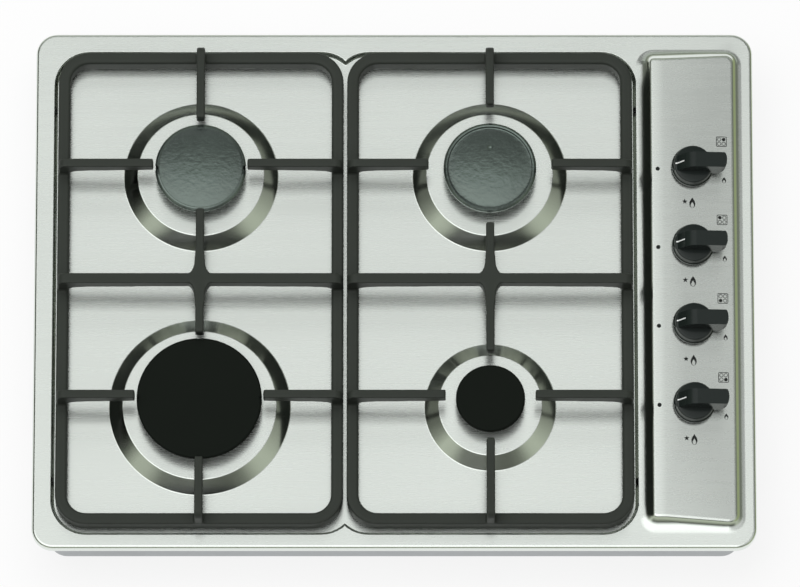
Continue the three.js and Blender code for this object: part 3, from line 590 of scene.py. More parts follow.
FLOAT = "NodeSocketFloat"
SHADE = "NodeSocketColor"
SURFACE_OUTPUTS = [("Colour", SHADE), ("Roughness", FLOAT), ("Height", FLOAT)]
FINE_LINES = {"scale": 1400, "detail": 2, "stretch": (0.018, 1, 1), "roughness": 0.6}
BROAD_LINES = {"scale": 260, "detail": 3, "stretch": (0.02, 1, 1), "roughness": 0.6}
SHEET_CLOUDS = {"scale": 5.5, "detail": 2}
LINE_TINT, LINE_ROUGHNESS = 0.11, 0.14
CLOUD_TINT, CLOUD_ROUGHNESS = 0.10, 0.5
SKIN_GRAIN = {"Detail": 4.0, "Roughness": 0.6}
SKIN_CLOUDS = {"scale": 28, "detail": 3}
GRAIN_SHARE, CLOUD_SHARE = 0.6, 0.4
SKIN_TINT, SKIN_ROUGHNESS = 2.0, 0.8
EDGE_START, EDGE_GAIN = 0.52, 12.0  # of the pointiness, which is 0.5 on a flat


def effect_group(name, inputs, outputs):
    """An empty shader node group with named inputs and outputs, and its given values."""
    group = bpy.data.node_groups.new(name, "ShaderNodeTree")
    for label, kind, default in inputs:
        socket = group.interface.new_socket(label, in_out="INPUT", socket_type=kind)
        socket.default_value = default
    for label, kind in outputs:
        group.interface.new_socket(label, in_out="OUTPUT", socket_type=kind)
    t = Tree(group)
    return group, t, t.nodes.new("NodeGroupInput").outputs


def brushing_group(name):
    """Brushing lines along X: a height, a roughness and a tint that vary from line to line."""
    inputs = [("Colour", SHADE, (1, 1, 1, 1)), ("Roughness", FLOAT, 0.3)]
    group, t, given = effect_group(name, inputs, SURFACE_OUTPUTS)
    fine = t.noise(**FINE_LINES)
    broad = t.noise(**BROAD_LINES)
    cloud = t.noise(**SHEET_CLOUDS)
    lines = t.plus(t.times(fine, 0.5), t.times(broad, 0.5))
    centred = t.about_zero(lines)
    tint = t.plus(t.times(centred, LINE_TINT), 1.0)
    patch = t.times(t.about_zero(cloud), CLOUD_TINT)
    shade = t.vector("SCALE", given["Colour"], t.plus(tint, patch), "Scale")
    change = t.plus(t.times(centred, LINE_ROUGHNESS), t.times(patch, CLOUD_ROUGHNESS))
    rough = t.plus(given["Roughness"], change)
    t.add("NodeGroupOutput", Colour=shade, Roughness=rough, Height=lines)
    return group


def skin_group(name):
    """The skin of a casting, of enamel or of moulded plastic: a height and a mottled tint."""
    inputs = [
        ("Colour", SHADE, (1, 1, 1, 1)),
        ("Roughness", FLOAT, 0.5),
        ("Scale", FLOAT, 900.0),
        ("Contrast", FLOAT, 0.2),
    ]
    group, t, given = effect_group(name, inputs, SURFACE_OUTPUTS)
    place = t.nodes.new("ShaderNodeTexCoord").outputs["Object"]
    noise = t.add("ShaderNodeTexNoise", Vector=place, Scale=given["Scale"], **SKIN_GRAIN)
    grain = noise.outputs["Fac"]
    cloud = t.noise(**SKIN_CLOUDS)
    mottle = t.plus(t.times(grain, GRAIN_SHARE), t.times(cloud, CLOUD_SHARE))
    centred = t.times(t.about_zero(mottle), given["Contrast"])
    tint = t.plus(t.times(centred, SKIN_TINT), 1.0)
    shade = t.vector("SCALE", given["Colour"], tint, "Scale")
    rough = t.plus(given["Roughness"], t.times(centred, SKIN_ROUGHNESS))
    t.add("NodeGroupOutput", Colour=shade, Roughness=rough, Height=grain)
    return group


def edge_group(name):
    """How strongly an edge is lightened for wear and a painted highlight: 1 on edges and 0 on flat
    faces.
    """
    group, t, given = effect_group(name, [("Strength", FLOAT, 1.0)], [("Mask", FLOAT)])
    point = t.nodes.new("ShaderNodeNewGeometry").outputs["Pointiness"]
    above = t.calc("SUBTRACT", point, EDGE_START)
    edge = t.calc("MULTIPLY", above, EDGE_GAIN, clamp=True)
    t.add("NodeGroupOutput", Mask=t.times(edge, given["Strength"]))
    return group


# ---------------------------------------------------------------- finishes


BRUSHING_MAP = "brushing"
BRUSHED = {"roughness": 0.27, "anisotropy": 0.8, "strength": 0.045, "distance": 0.00004}
SLOPE_GLOSS = [(0.88, 0.52), (0.99, 1.0)]  # share of the roughness, over the normal's Z
METAL = {"metallic": 1.0}

# For each skin: its colour, roughness, grain scale and contrast, then the strength and distance
# of its grain's height, and what else sets it apart from plain enamel.
SKINS = {
    "galvanised_steel": ("galvanised", 0.42, 160, 0.24, 0.10, 0.0001, METAL),
    # The cast iron's rounded edges are lightened: partly wear, partly a painted highlight.
    "cast_iron_enamel": ("iron", 0.46, 1500, 0.22, 0.30, 0.00012,
                         {"specular": 0.16, "wear_and_highlight": ((0.075, 0.08, 0.072), 0.35)}),
    "gloss_enamel": ("gloss", 0.20, 210, 0.16, 0.34, 0.00050,
                     {"ior": 2.30, "sheen": (0.80, 0.98, 0.88)}),
    "black_enamel": ("matt", 0.42, 1300, 0.12, 0.14, 0.00006, {"specular": 0.03}),
    "burner_aluminium": ("aluminium", 0.42, 1100, 0.16, 0.22, 0.00008, METAL),
    "pipe_aluminium": ("pipe", 0.32, 700, 0.10, 0.08, 0.00005, METAL),
    "brass": ("brass", 0.30, 600, 0.12, 0.08, 0.00005, METAL),
    "ceramic": ("ceramic", 0.28, 500, 0.06, 0.05, 0.00004, {}),
    "seal_rubber": ("rubber", 0.75, 1400, 0.14, 0.20, 0.00008, {}),
    "foot_rubber": ("rubber", 0.75, 1400, 0.14, 0.20, 0.00008, {}),
    "knob_plastic": ("knob", 0.20, 900, 0.08, 0.05, 0.00003, {"specular": 0.30}),
    "module_plastic": ("case", 0.50, 1000, 0.08, 0.12, 0.00006, {}),
    "printed_ink": ("ink", 0.45, 1500, 0.15, 0.05, 0.00002, {"specular": 0.3}),
    "index_paint": ("index", 0.40, 1500, 0.06, 0.05, 0.00002, {}),
}


def brushed_metal(name, shade, roughness, anisotropy, strength, distance):
    """Sheet metal brushed along X: what it mirrors is drawn out across the brushing lines."""
    material, t, shader = principled(name)
    lines = t.effect("Brushing", brushing_group, Colour=(*shade, 1), Roughness=roughness).outputs
    facing = t.nodes.new("ShaderNodeNewGeometry").outputs["Normal"]
    upward = t.add("ShaderNodeSeparateXYZ", Vector=facing).outputs["Z"]
    gloss = t.ramp(upward, SLOPE_GLOSS)
    across = t.add("ShaderNodeTangent", {"direction_type": "UV_MAP", "uv_map": BRUSHING_MAP})
    t.feed(shader, "Base Color", lines["Colour"])
    t.feed(shader, "Roughness", t.times(lines["Roughness"], gloss))
    t.feed(shader, "Metallic", 1.0)
    t.feed(shader, "Anisotropic", anisotropy)
    t.feed(shader, "Tangent", across.outputs[0])
    raised_by(t, shader, lines["Height"], strength, distance)
    return material


def skinned(name, shade, roughness, scale, contrast, strength, distance,
            metallic=0.0, specular=0.5, ior=1.5, wear_and_highlight=None, sheen=(1, 1, 1)):
    """Castings, enamel, plastic and rubber: a mottled skin with a fine grain."""
    material, t, shader = principled(name)
    skin = t.effect("Skin", skin_group, Colour=(*shade, 1), Roughness=roughness, Scale=scale,
                    Contrast=contrast).outputs
    tint = skin["Colour"]
    # Lighter edges: wear together with a painted highlight along the roundings.
    if wear_and_highlight:
        wear_and_highlight_shade, share = wear_and_highlight
        edge = t.effect("Edge wear", edge_group, Strength=share)
        tint = t.blend(edge.outputs["Mask"], tint, (*wear_and_highlight_shade, 1))
    t.feed(shader, "Base Color", tint)
    t.feed(shader, "Roughness", skin["Roughness"])
    t.feed(shader, "Metallic", metallic)
    t.feed(shader, "Specular IOR Level", specular)
    t.feed(shader, "IOR", ior)
    t.feed(shader, "Specular Tint", (*sheen, 1))
    raised_by(t, shader, skin["Height"], strength, distance)
    return material


def finish_named(name):
    """The finishes of the cooktop, each made once. The frame's own materials keep their names."""
    label = f"{name}_finish"
    made = bpy.data.materials.get(label)
    if made:
        return made
    if name == "brushed_stainless":
        return brushed_metal(label, colours().steel, **BRUSHED)
    shade, *values, extras = SKINS[name]
    return skinned(label, getattr(colours(), shade), *values, **extras)


# ---------------------------------------------------------------- top plate


PLATE_SHARP = 50
HEAD_WALL = 0.004
SEAT_MARGIN = 0.0005  # what is cut out for a head is looked for this far past its edge
BASIN_FILLET, BOSS_FILLET = 0.0011, 0.0016
PANEL_FOOT_RUN, PANEL_LEAN = 0.0027, 0.94  # the lean is the sides' run for each metre of rise
PANEL_CREST = 0.0016
TOPS_ABOVE = 0.003  # only the panel's tops lie wholly higher than this over the rim
STEM_HOLE = 0.006


def rim_shell(s):
    """The plate's border: a folded edge, rounded over to the level rim."""
    bm = bmesh.new()
    x, y = s.plate_length / 2, s.plate_depth / 2
    face = rounded_face(bm, -x, x, -y, y, s.rim_bottom, s.plate_corner)
    stepped(bm, face, [(0.0, s.rim_top - s.rim_bottom - s.rim_edge)] + quarter_round(s.rim_edge))
    opened(bm, face)
    return bm


def basin_shell(s):
    """The recess: two cells that overlap in the middle, with the four round bosses."""
    bm = bmesh.new()
    centre = (s.basin_left + s.basin_right) / 2
    rounded_face(
        bm,
        s.basin_left - s.basin_run,
        centre + s.basin_overlap / 2 + s.basin_run,
        s.basin_front - s.basin_run,
        s.basin_rear + s.basin_run,
        s.rim_top,
        s.basin_corner + s.basin_run,
    )
    doubled_about(bm, centre)
    floor = bm.faces[:][0]
    if floor.normal.z < 0:
        floor.normal_flip()
    wall = ogee(s.basin_run, s.basin_depth, BASIN_FILLET)
    stepped(bm, floor, [(run, -rise) for run, rise in wall])
    opened(bm, floor)
    for name in BURNERS:
        joined(bm, boss_shell(s, name))
    fill_level(bm, s.rim_top - s.basin_depth)
    return bm


def doubled_about(bm, centre):
    """Keeps what lies left of a place along X, mirrors it there and makes both one face."""
    bmesh.ops.bisect_plane(
        bm, geom=whole(bm), plane_co=(centre, 0, 0), plane_no=(1, 0, 0), clear_outer=True
    )
    to_centre = Matrix.Translation((-centre, 0, 0))
    bmesh.ops.mirror(bm, geom=whole(bm), matrix=to_centre, axis="X", merge_dist=NEAR)
    bmesh.ops.remove_doubles(bm, verts=bm.verts[:], dist=NEAR)
    bmesh.ops.recalc_face_normals(bm, faces=bm.faces[:])
    seam = [e for e in bm.edges if all(abs(v.co.x - centre) < NEAR for v in e.verts)]
    bmesh.ops.dissolve_edges(bm, edges=seam, use_verts=False)


def cap_radius(name):
    low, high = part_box(f"burner_cap_{name}")
    return (high.x - low.x) / 2


def boss_shell(s, name):
    """A round boss with a sloping ring, a level top and the hole for its burner."""
    bm = bmesh.new()
    place = middle(f"burner_cup_{name}")
    seat = cap_radius(name) - s.cap_overhang - HEAD_WALL
    radius = getattr(s, f"boss_{BOSS_SIZE[name]}")
    foot = over(place, s.rim_top - s.basin_depth)
    bmesh.ops.create_circle(bm, cap_ends=True, segments=96, radius=radius, matrix=foot)
    face = bm.faces[:][0]
    stepped(bm, face, ogee(s.boss_run, s.boss_rise, BOSS_FILLET, 4))
    stepped(bm, face, [(radius - s.boss_run - seat, 0.0)])
    return bm


def panel_solid(s):
    """The raised control panel: a level strip at the left and a top that falls to the right."""
    bm = bmesh.new()
    face = rounded_face(
        bm,
        s.panel_left - PANEL_FOOT_RUN,
        s.panel_right + PANEL_FOOT_RUN,
        s.panel_front - PANEL_FOOT_RUN,
        s.panel_rear + PANEL_FOOT_RUN,
        s.rim_top - s.basin_depth,
        s.panel_corner + PANEL_FOOT_RUN,
    )
    full = s.panel_rise + s.sheet
    stepped(bm, face, [(PANEL_FOOT_RUN, s.basin_depth), (full * PANEL_LEAN, full)])
    top = s.rim_top + s.panel_rise
    for normal in (Vector((0, 0, 1)), falling_normal(s)):
        bmesh.ops.bisect_plane(
            bm,
            geom=whole(bm),
            dist=1e-7,
            plane_co=(s.strip_end, 0, top),
            plane_no=normal,
            clear_outer=True,
        )
        cut = [e for e in open_edges(bm) if min(v.co.z for v in e.verts) > s.rim_top]
        bmesh.ops.edgeloop_fill(bm, edges=cut)
    tops = {f for f in bm.faces if min(v.co.z for v in f.verts) > s.rim_top + TOPS_ABOVE}
    crest = [e for e in bm.edges if len(set(e.link_faces) & tops) == 1]
    bevelled(bm, crest, PANEL_CREST, 4, "EDGES")
    bmesh.ops.edgeloop_fill(bm, edges=open_edges(bm))
    return bm


def falling_normal(s):
    return Vector((math.sin(s.panel_fall), 0, math.cos(s.panel_fall)))


def block(s):
    """Border, basin and bosses as a solid block, before the panel is added to it."""
    bm = rim_shell(s)
    joined(bm, basin_shell(s))
    fill_level(bm, s.rim_top)
    bmesh.ops.remove_doubles(bm, verts=bm.verts[:], dist=WELD)
    bmesh.ops.edgeloop_fill(bm, edges=open_edges(bm))
    return bm


class COOKTOP_OT_plate(Operator):
    """Makes the pressed top plate with its basin, bosses and control panel"""

    bl_idname = "cooktop.plate"
    bl_label = "Top plate"

    def execute(self, context):
        s = sizes()
        piece = finished("top_plate", block(s), "cooktop", "brushed_stainless",
                         ("cooktop_plate",), PLATE_SHARP)
        combined(piece, panel_solid(s), "UNION")
        reworked(piece, self.open_underside, self.open_seats, self.open_stem_holes, self.face_up)
        thickened(piece, s.sheet)
        reworked(piece, self.lay_brushing, self.mark_flats)
        even_shading(reshaded(piece, PLATE_SHARP), flats_first=True)
        return {"FINISHED"}

    def open_underside(self, bm):
        low = sizes().rim_bottom + NEAR
        bottom = [f for f in bm.faces if max(v.co.z for v in f.verts) < low]
        bmesh.ops.delete(bm, geom=bottom, context="FACES")

    def open_seats(self, bm):
        s = sizes()
        top = s.rim_top - s.basin_depth + s.boss_rise
        for name in BURNERS:
            place = middle(f"burner_cup_{name}").xy
            seat = cap_radius(name) - s.cap_overhang - HEAD_WALL + SEAT_MARGIN
            discs = [
                f for f in bm.faces
                if all(abs(v.co.z - top) < 2 * NEAR and (v.co.xy - place).length < seat
                       for v in f.verts)
            ]
            if not discs:
                raise RuntimeError(f"the seat of the {name} burner wasn't found")
            bmesh.ops.delete(bm, geom=discs, context="FACES")

    def open_stem_holes(self, bm):
        s = sizes()
        fall = falling_normal(s)
        falling = [
            f for f in bm.faces
            if f.normal.dot(fall) > SAME_WAY and f.calc_center_median().x > s.strip_end
        ]
        region = set(falling)
        edges = [e for f in falling for e in f.edges if len(set(e.link_faces) & region) == 1]
        bmesh.ops.delete(bm, geom=falling, context="FACES_ONLY")
        for index in range(len(STATIONS)):
            ring = bmesh.ops.create_circle(
                bm, cap_ends=False, segments=32, radius=STEM_HOLE, matrix=station_matrix(index)
            )
            edges += list({e for v in ring["verts"] for e in v.link_edges})
        bmesh.ops.triangle_fill(bm, edges=edges, use_beauty=True, normal=fall)

    def face_up(self, bm):
        turn_faces(bm, 1)

    def lay_brushing(self, bm):
        """A UV map whose U runs square to the brushing lines, also on the upright walls."""
        layer = bm.loops.layers.uv.new(BRUSHING_MAP)
        for face in bm.faces:
            for loop in face.loops:
                x, y, z = loop.vert.co
                loop[layer].uv = (y + z, z - x)

    def mark_flats(self, bm):
        """Marks level, upright and falling faces as flats and the others as bends."""
        strong = 16384
        directions = (falling_normal(sizes()), *Matrix.Identity(3))
        strength = bm.faces.layers.int.new("__mod_weightednormals_faceweight")
        for face in bm.faces:
            flat = any(abs(face.normal.dot(way)) > SAME_WAY for way in directions)
            face[strength] = strong if flat else -strong


# ---------------------------------------------------------------- tray, seal and clamps


TRAY_WALLS = Vector((0.278, 0.207))  # half the tray's length and depth
TRAY_CORNER, TRAY_FOLD, TRAY_SHARP = 0.015, 0.003, 40
STIFFENER_ENDS, STIFFENER_REACH, STIFFENER_CORNER = (0.012, 0.236), 0.165, 0.012
STIFFENER_SLOPE = {"run": 0.004, "rise": 0.0022, "radius": 0.0007, "steps": 3}
INLET_HOLE, HOLE_REACH = 0.011, 0.02
SEAL_WIDTH, SEAL_EDGE = 0.005, 0.0006
CLAMP_THICK, CLAMP_REACH, CLAMP_TONGUE, CLAMP_LIP = 0.002, 0.010, 0.015, 0.002
CLAMP_BEND, CLAMP_SOFTNESS = 0.0016, 0.0003
CLAMP_SCREW = [(0, 0), (0.0042, 0), (0.0042, 0.0012), (0.0030, 0.0024), (0, 0.0027)]
SCREW_HEIGHT, SCREW_SINK = 0.0065, 0.0001


class COOKTOP_OT_tray(Operator):
    """Makes the bottom tray with its flange, ribs and the hole for the gas inlet"""

    bl_idname = "cooktop.tray"
    bl_label = "Bottom tray"

    def execute(self, context):
        s = sizes()
        piece = dressed("tray_shell", mesh_of(self.shell(s), "tray_shell"), "cooktop",
                        "galvanised_steel", ("bottom_tray",), TRAY_SHARP)
        thickened(piece, s.sheet)
        inlet = middle("gas_inlet_nipple")
        through_wall = (
            Matrix.Translation((inlet.x, TRAY_WALLS.y, inlet.z))
            @ Matrix.Rotation(QUARTER_TURN, 4, "X")
        )
        cut_away(piece, rod(INLET_HOLE, -HOLE_REACH, HOLE_REACH, 48, through_wall))
        even_shading(piece)
        return {"FINISHED"}

    def shell(self, s):
        """Walls and floor with two raised stiffeners, and the flange round the walls."""
        bm = bmesh.new()
        (x, y), (outer_x, outer_y) = TRAY_WALLS, TRAY_HIGH.xy
        flange, floor = TRAY_HIGH.z - s.sheet, TRAY_LOW.z
        walls = rounded_face(bm, -x, x, -y, y, flange, TRAY_CORNER)
        walls.normal_flip()
        down = [(0.0, flange - floor - TRAY_FOLD)] + quarter_round(TRAY_FOLD, 4)
        stepped(bm, walls, down)
        opened(bm, walls)
        near, far = STIFFENER_ENDS
        for left, right in ((-far, -near), (near, far)):
            stiffener = rounded_face(
                bm, left, right, -STIFFENER_REACH, STIFFENER_REACH, floor, STIFFENER_CORNER
            )
            stepped(bm, stiffener, ogee(**STIFFENER_SLOPE))
        fill_level(bm, floor)
        outside = rounded_face(
            bm, -outer_x, outer_x, -outer_y, outer_y, flange, s.plate_corner
        )
        opened(bm, outside)
        fill_level(bm, flange)
        bmesh.ops.remove_doubles(bm, verts=bm.verts[:], dist=WELD)
        turn_faces(bm, -1)
        return bm


class COOKTOP_OT_seal(Operator):
    """Makes the sealing strip between the tray's flange and the worktop"""

    bl_idname = "cooktop.seal"
    bl_label = "Rim seal"

    def execute(self, context):
        low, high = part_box("rim_seal")
        bm = ring_bar(low, high, high.z - low.z, SEAL_WIDTH, sizes().plate_corner, SEAL_EDGE)
        finished("rim_gasket", bm, "cooktop", "seal_rubber", ("rim_seal",))
        return {"FINISHED"}


class COOKTOP_OT_clamps(Operator):
    """Makes the four worktop clamps, each a folded strip with its screw"""

    bl_idname = "cooktop.clamps"
    bl_label = "Worktop clamps"

    def execute(self, context):
        for end in ("front", "rear"):
            for side, turn in (("left", math.pi), ("right", 0.0)):
                node = f"worktop_clamp_{end}_{side}"
                low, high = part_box(node)
                wall = min(abs(low.x), abs(high.x))
                place, width = (0, (low.y + high.y) / 2, 0), high.y - low.y
                strip = self.strip_outline(wall, low.z)
                bm = prism(strip, width, upright(turn, place, width), {7: CLAMP_BEND})
                on_strip = (wall + CLAMP_THICK - SCREW_SINK, 0, low.z + SCREW_HEIGHT)
                screw_place = (
                    Matrix.Translation(place)
                    @ Matrix.Rotation(turn, 4, "Z")
                    @ Matrix.Translation(on_strip)
                    @ Matrix.Rotation(QUARTER_TURN, 4, "Y")
                )
                joined(bm, turned(CLAMP_SCREW, 24, screw_place))
                piece = finished(f"clamp_{end}_{side}", bm, "cooktop", "galvanised_steel", (node,))
                soft_edges(piece, CLAMP_SOFTNESS)
        return {"FINISHED"}

    def strip_outline(self, wall, foot):
        """From the tray's wall out to the clamp's tongue, which ends in a lip."""
        tongue, tip = foot + CLAMP_TONGUE, wall + CLAMP_REACH
        return [
            (wall, foot),
            (wall + CLAMP_THICK, foot),
            (wall + CLAMP_THICK, tongue - CLAMP_THICK),
            (tip, tongue - CLAMP_THICK),
            (tip, tongue + CLAMP_LIP),
            (tip - CLAMP_THICK, tongue + CLAMP_LIP),
            (tip - CLAMP_THICK, tongue),
            (wall, tongue),
        ]


# ---------------------------------------------------------------- pan supports


ENDS = {"rear": 1, "front": -1}
SUPPORT_INSET = 0.0002  # leaves room for the casting's skin inside the CAD box
SUPPORT_EDGE = 0.0012
CROSS_OVERLAP = 0.001  # of the two halves of the bar across the middle
TIP_ROUND = 0.0018
FINGER_LAP, FINGER_SETBACK = 0.001, 0.0006  # into the frame's bar, and back from its outside
FINGER_ARCH = [(-0.0115, 0.0002), (-0.0025, -0.0023)]  # from where the underside would meet the bar
FINGER_ROUNDS = {1: 0.006, 2: 0.0045, 7: 0.006, 8: TIP_ROUND}  # by corner of the outline
FLARE_RUNS = (0.030, 0.008, 0.003)  # back from the cross bar's middle: start, bend and end
FLARE_WAIST, FLARE_SWELL = -0.0004, 0.0014  # past half the finger's width
FLARE_FOOT = 0.0022  # past the finger's whole width
FLARE_SINK = 0.0001  # keeps its top below the finger's
FLARE_ROUNDS = {1: 0.004, 4: 0.004}
CAST_SHARP = 180  # a casting has no sharp edges
CAST_SMOOTHING, CAST_PASSES = 0.5, 2
PAD_HEIGHT, PLUG_RADIUS = 0.0054, 0.002
PAD_EDGE = [(-0.0012, 0.0), (-0.0004, 0.0004), (0.0, 0.0014)]


def finger_solid(s, tip, reach, angle, place, width, top):
    """An arched finger: from its tip out to the frame, down into the frame's bar."""
    under = top - s.finger_depth
    frame_top = SUPPORT_FOOT + s.bar_height
    inside = reach - s.bar_width + FINGER_LAP
    outside = reach - FINGER_SETBACK
    outline = [
        (tip, top - s.tip_depth),
        *placed(FINGER_ARCH, inside, under),
        (inside, frame_top - FINGER_LAP),
        (inside, frame_top - s.bar_height / 2),
        (outside, frame_top - s.bar_height / 2),
        (outside, frame_top),
        (outside, top),
        (tip, top),
    ]
    return prism(outline, width, upright(angle, place, width), FINGER_ROUNDS)


def inner_finger(s, tip, reach, angle, place, top):
    """A finger from its tip in to the bar across the middle of the support."""
    under = top - s.finger_depth
    outline = [(tip, top - s.tip_depth), (reach, under), (reach, top), (tip, top)]
    matrix = upright(angle, place, s.finger_width)
    return prism(outline, s.finger_width, matrix, {3: TIP_ROUND})


def cross_flare(s, reach, angle, place, top):
    """The widening of a finger where it meets the bar across the middle."""
    half, foot = s.finger_width / 2, s.finger_width + FLARE_FOOT
    waist, swell = half + FLARE_WAIST, half + FLARE_SWELL
    start, bend, end = (reach - run for run in FLARE_RUNS)
    outline = [(start, -waist), (bend, -swell), (end, -foot), (end, foot), (bend, swell),
               (start, waist)]
    turn = Matrix.Translation((*place[:2], top - s.finger_depth)) @ Matrix.Rotation(angle, 4, "Z")
    return prism(outline, s.finger_depth - FLARE_SINK, turn, FLARE_ROUNDS)


class COOKTOP_OT_supports(Operator):
    """Makes the two cast pan supports, with blended joins and a soft casting skin"""

    bl_idname = "cooktop.supports"
    bl_label = "Pan supports"

    def execute(self, context):
        s = sizes()
        for column in ("left", "right"):
            mesh = mesh_of(self.bars(s, column), f"grate_{column}")
            piece = dressed(f"grate_{column}", mesh, f"{column}_pan_support", "cast_iron_enamel",
                            (f"pan_support_{column}",), CAST_SHARP)
            cast = piece.modifiers.new("Cast", "REMESH")
            cast.mode = "VOXEL"
            cast.voxel_size = s.casting_voxel
            cast.use_smooth_shade = True
            soft = piece.modifiers.new("Soft", "SMOOTH")
            soft.factor = CAST_SMOOTHING
            soft.iterations = CAST_PASSES
            baked(piece)
            piece.data.shade_smooth()
        return {"FINISHED"}

    def bars(self, s, column):
        """The frame, the bar across its middle and the fingers round the two burners."""
        low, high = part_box(f"pan_support_{column}")
        inset = Vector((SUPPORT_INSET,) * 3)
        low, high = low + inset, high - inset
        spots = {end: middle(f"burner_cup_{end}_{column}") for end in ENDS}
        x, cross_y = spots["rear"].x, (spots["rear"].y + spots["front"].y) / 2
        sideways = ((high.x - x, 0.0), (x - low.x, math.pi))
        bm = ring_bar(low, high, s.bar_height, s.bar_width, s.support_corner, SUPPORT_EDGE)
        bmesh.ops.recalc_face_normals(bm, faces=bm.faces[:])
        for reach, angle in sideways:
            bar = finger_solid(
                s, -CROSS_OVERLAP, reach, angle, (x, cross_y, 0), s.cross_width, high.z
            )
            joined(bm, bar)
        for end, side in ENDS.items():
            y, tip, outwards = spots[end].y, FINGER_TIP[f"{end}_{column}"], side * QUARTER_TURN
            place = (x, y, 0)
            to_frame = high.y - y if end == "rear" else y - low.y
            to_cross = abs(y - cross_y)
            for reach, angle in (*sideways, (to_frame, outwards)):
                joined(bm, finger_solid(s, tip, reach, angle, place, s.finger_width, high.z))
            joined(bm, inner_finger(s, tip, to_cross, -outwards, place, high.z))
            joined(bm, cross_flare(s, to_cross, -outwards, place, high.z))
        return bm


class COOKTOP_OT_feet(Operator):
    """Makes the rubber feet plugged into the pan supports' frames"""

    bl_idname = "cooktop.feet"
    bl_label = "Rubber feet"

    def execute(self, context):
        for column in ("left", "right"):
            for spot in ("front_left", "rear_left", "front_right", "rear_right"):
                node = f"foot_{spot}_of_{column}_support"
                low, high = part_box(node)
                radius, shoulder = (high.x - low.x) / 2, low.z + PAD_HEIGHT
                profile = [
                    (0, low.z),
                    *placed(PAD_EDGE, radius, low.z),
                    (radius, shoulder),
                    (PLUG_RADIUS, shoulder),
                    (PLUG_RADIUS, high.z),
                    (0, high.z),
                ]
                finished(f"pad_{spot}_{column}", turned(profile, 28, over(middle(node))),
                         f"{column}_pan_support", "foot_rubber", (node,))
        return {"FINISHED"}


# ---------------------------------------------------------------- burners


CAP_THICK, CAP_INSET = 0.0044, 0.0001  # the inset keeps a cap inside its CAD box
CAP_LIP, LIP_INSET, LIP_DEPTH = 0.0043, 0.0025, 0.002  # the ring under a cap that centres it
CAP_LOWER_EDGE = [(-0.0008, 0.0), (-0.0002, 0.0003), (0.0, 0.0008)]
DISH_STEP = [(-0.0006, 0.0), (-0.0012, -0.0001)]  # from the inner end of the cap's rim
DISH_FOOT = [(-0.0019, 0.0001)]  # from there too, but from the height of the dish's edge
DISH_EDGE, DISH_DROP = 0.0028, 0.0005  # the drop is that of the dish's middle
RIDGE = [(-0.0004, 0.0), (-0.0009, 0.00025), (-0.0012, 0.00025)]
RIDGE_EDGE = 0.0016
CROWN_STEPS = 12
GLOSS_EDGE, GLOSS_BAND, BAND_END = 0.0009, 0.0014, 0.0003
EDGE_TURNS = (90, 75.5, 61, 46.5, 32)  # degrees, from upright over to the slope of the band
FLAT_START, FLAT_RINGS = 0.0006, (0.6, 0.3)  # the rings are shares of a level cap's radius
NOTCH_DEPTH = 0.0030
DIMPLE_PLACE = 0.0164  # to the rear of the cap's middle
DIMPLE = [(0, -0.0017), (0.0010, -0.0016), (0.0019, -0.0012), (0.0024, -0.0006),
          (0.0024, CLEAR), (0, CLEAR)]
MIXING_TUBE, TUBE_WALL = 0.007, 0.0024
HEAD_FLOOR, HEAD_FLOOR_THICK = 0.017, 0.003  # height above the head's foot, and thickness
LOCATOR_INSET, LOCATOR_DEPTH = 0.0038, 0.003  # the step that centres a head in its cup
PORT_SILL = 0.0032  # from the head's floor up to the foot of its ports
HEAD_CHAMFER, HEAD_SOFTNESS = 0.0006, 0.00025
INSULATOR, COLLAR = 0.0024, 0.0038
COLLAR_LOW, COLLAR_HIGH = 0.012, 0.015
INSULATOR_END = [(INSULATOR, -0.0007), (0.0021, 0.0), (0.0010, 0.0006)]
PIN_LENGTH, PIN_END = 0.007, [(0.0009, -0.0006), (0.0006, 0.0)]
GLAZED = 0.0003  # the faces up to this far over the insulator's top are glazed


def toward(angle, reach):
    return Vector((math.cos(angle), math.sin(angle))) * reach


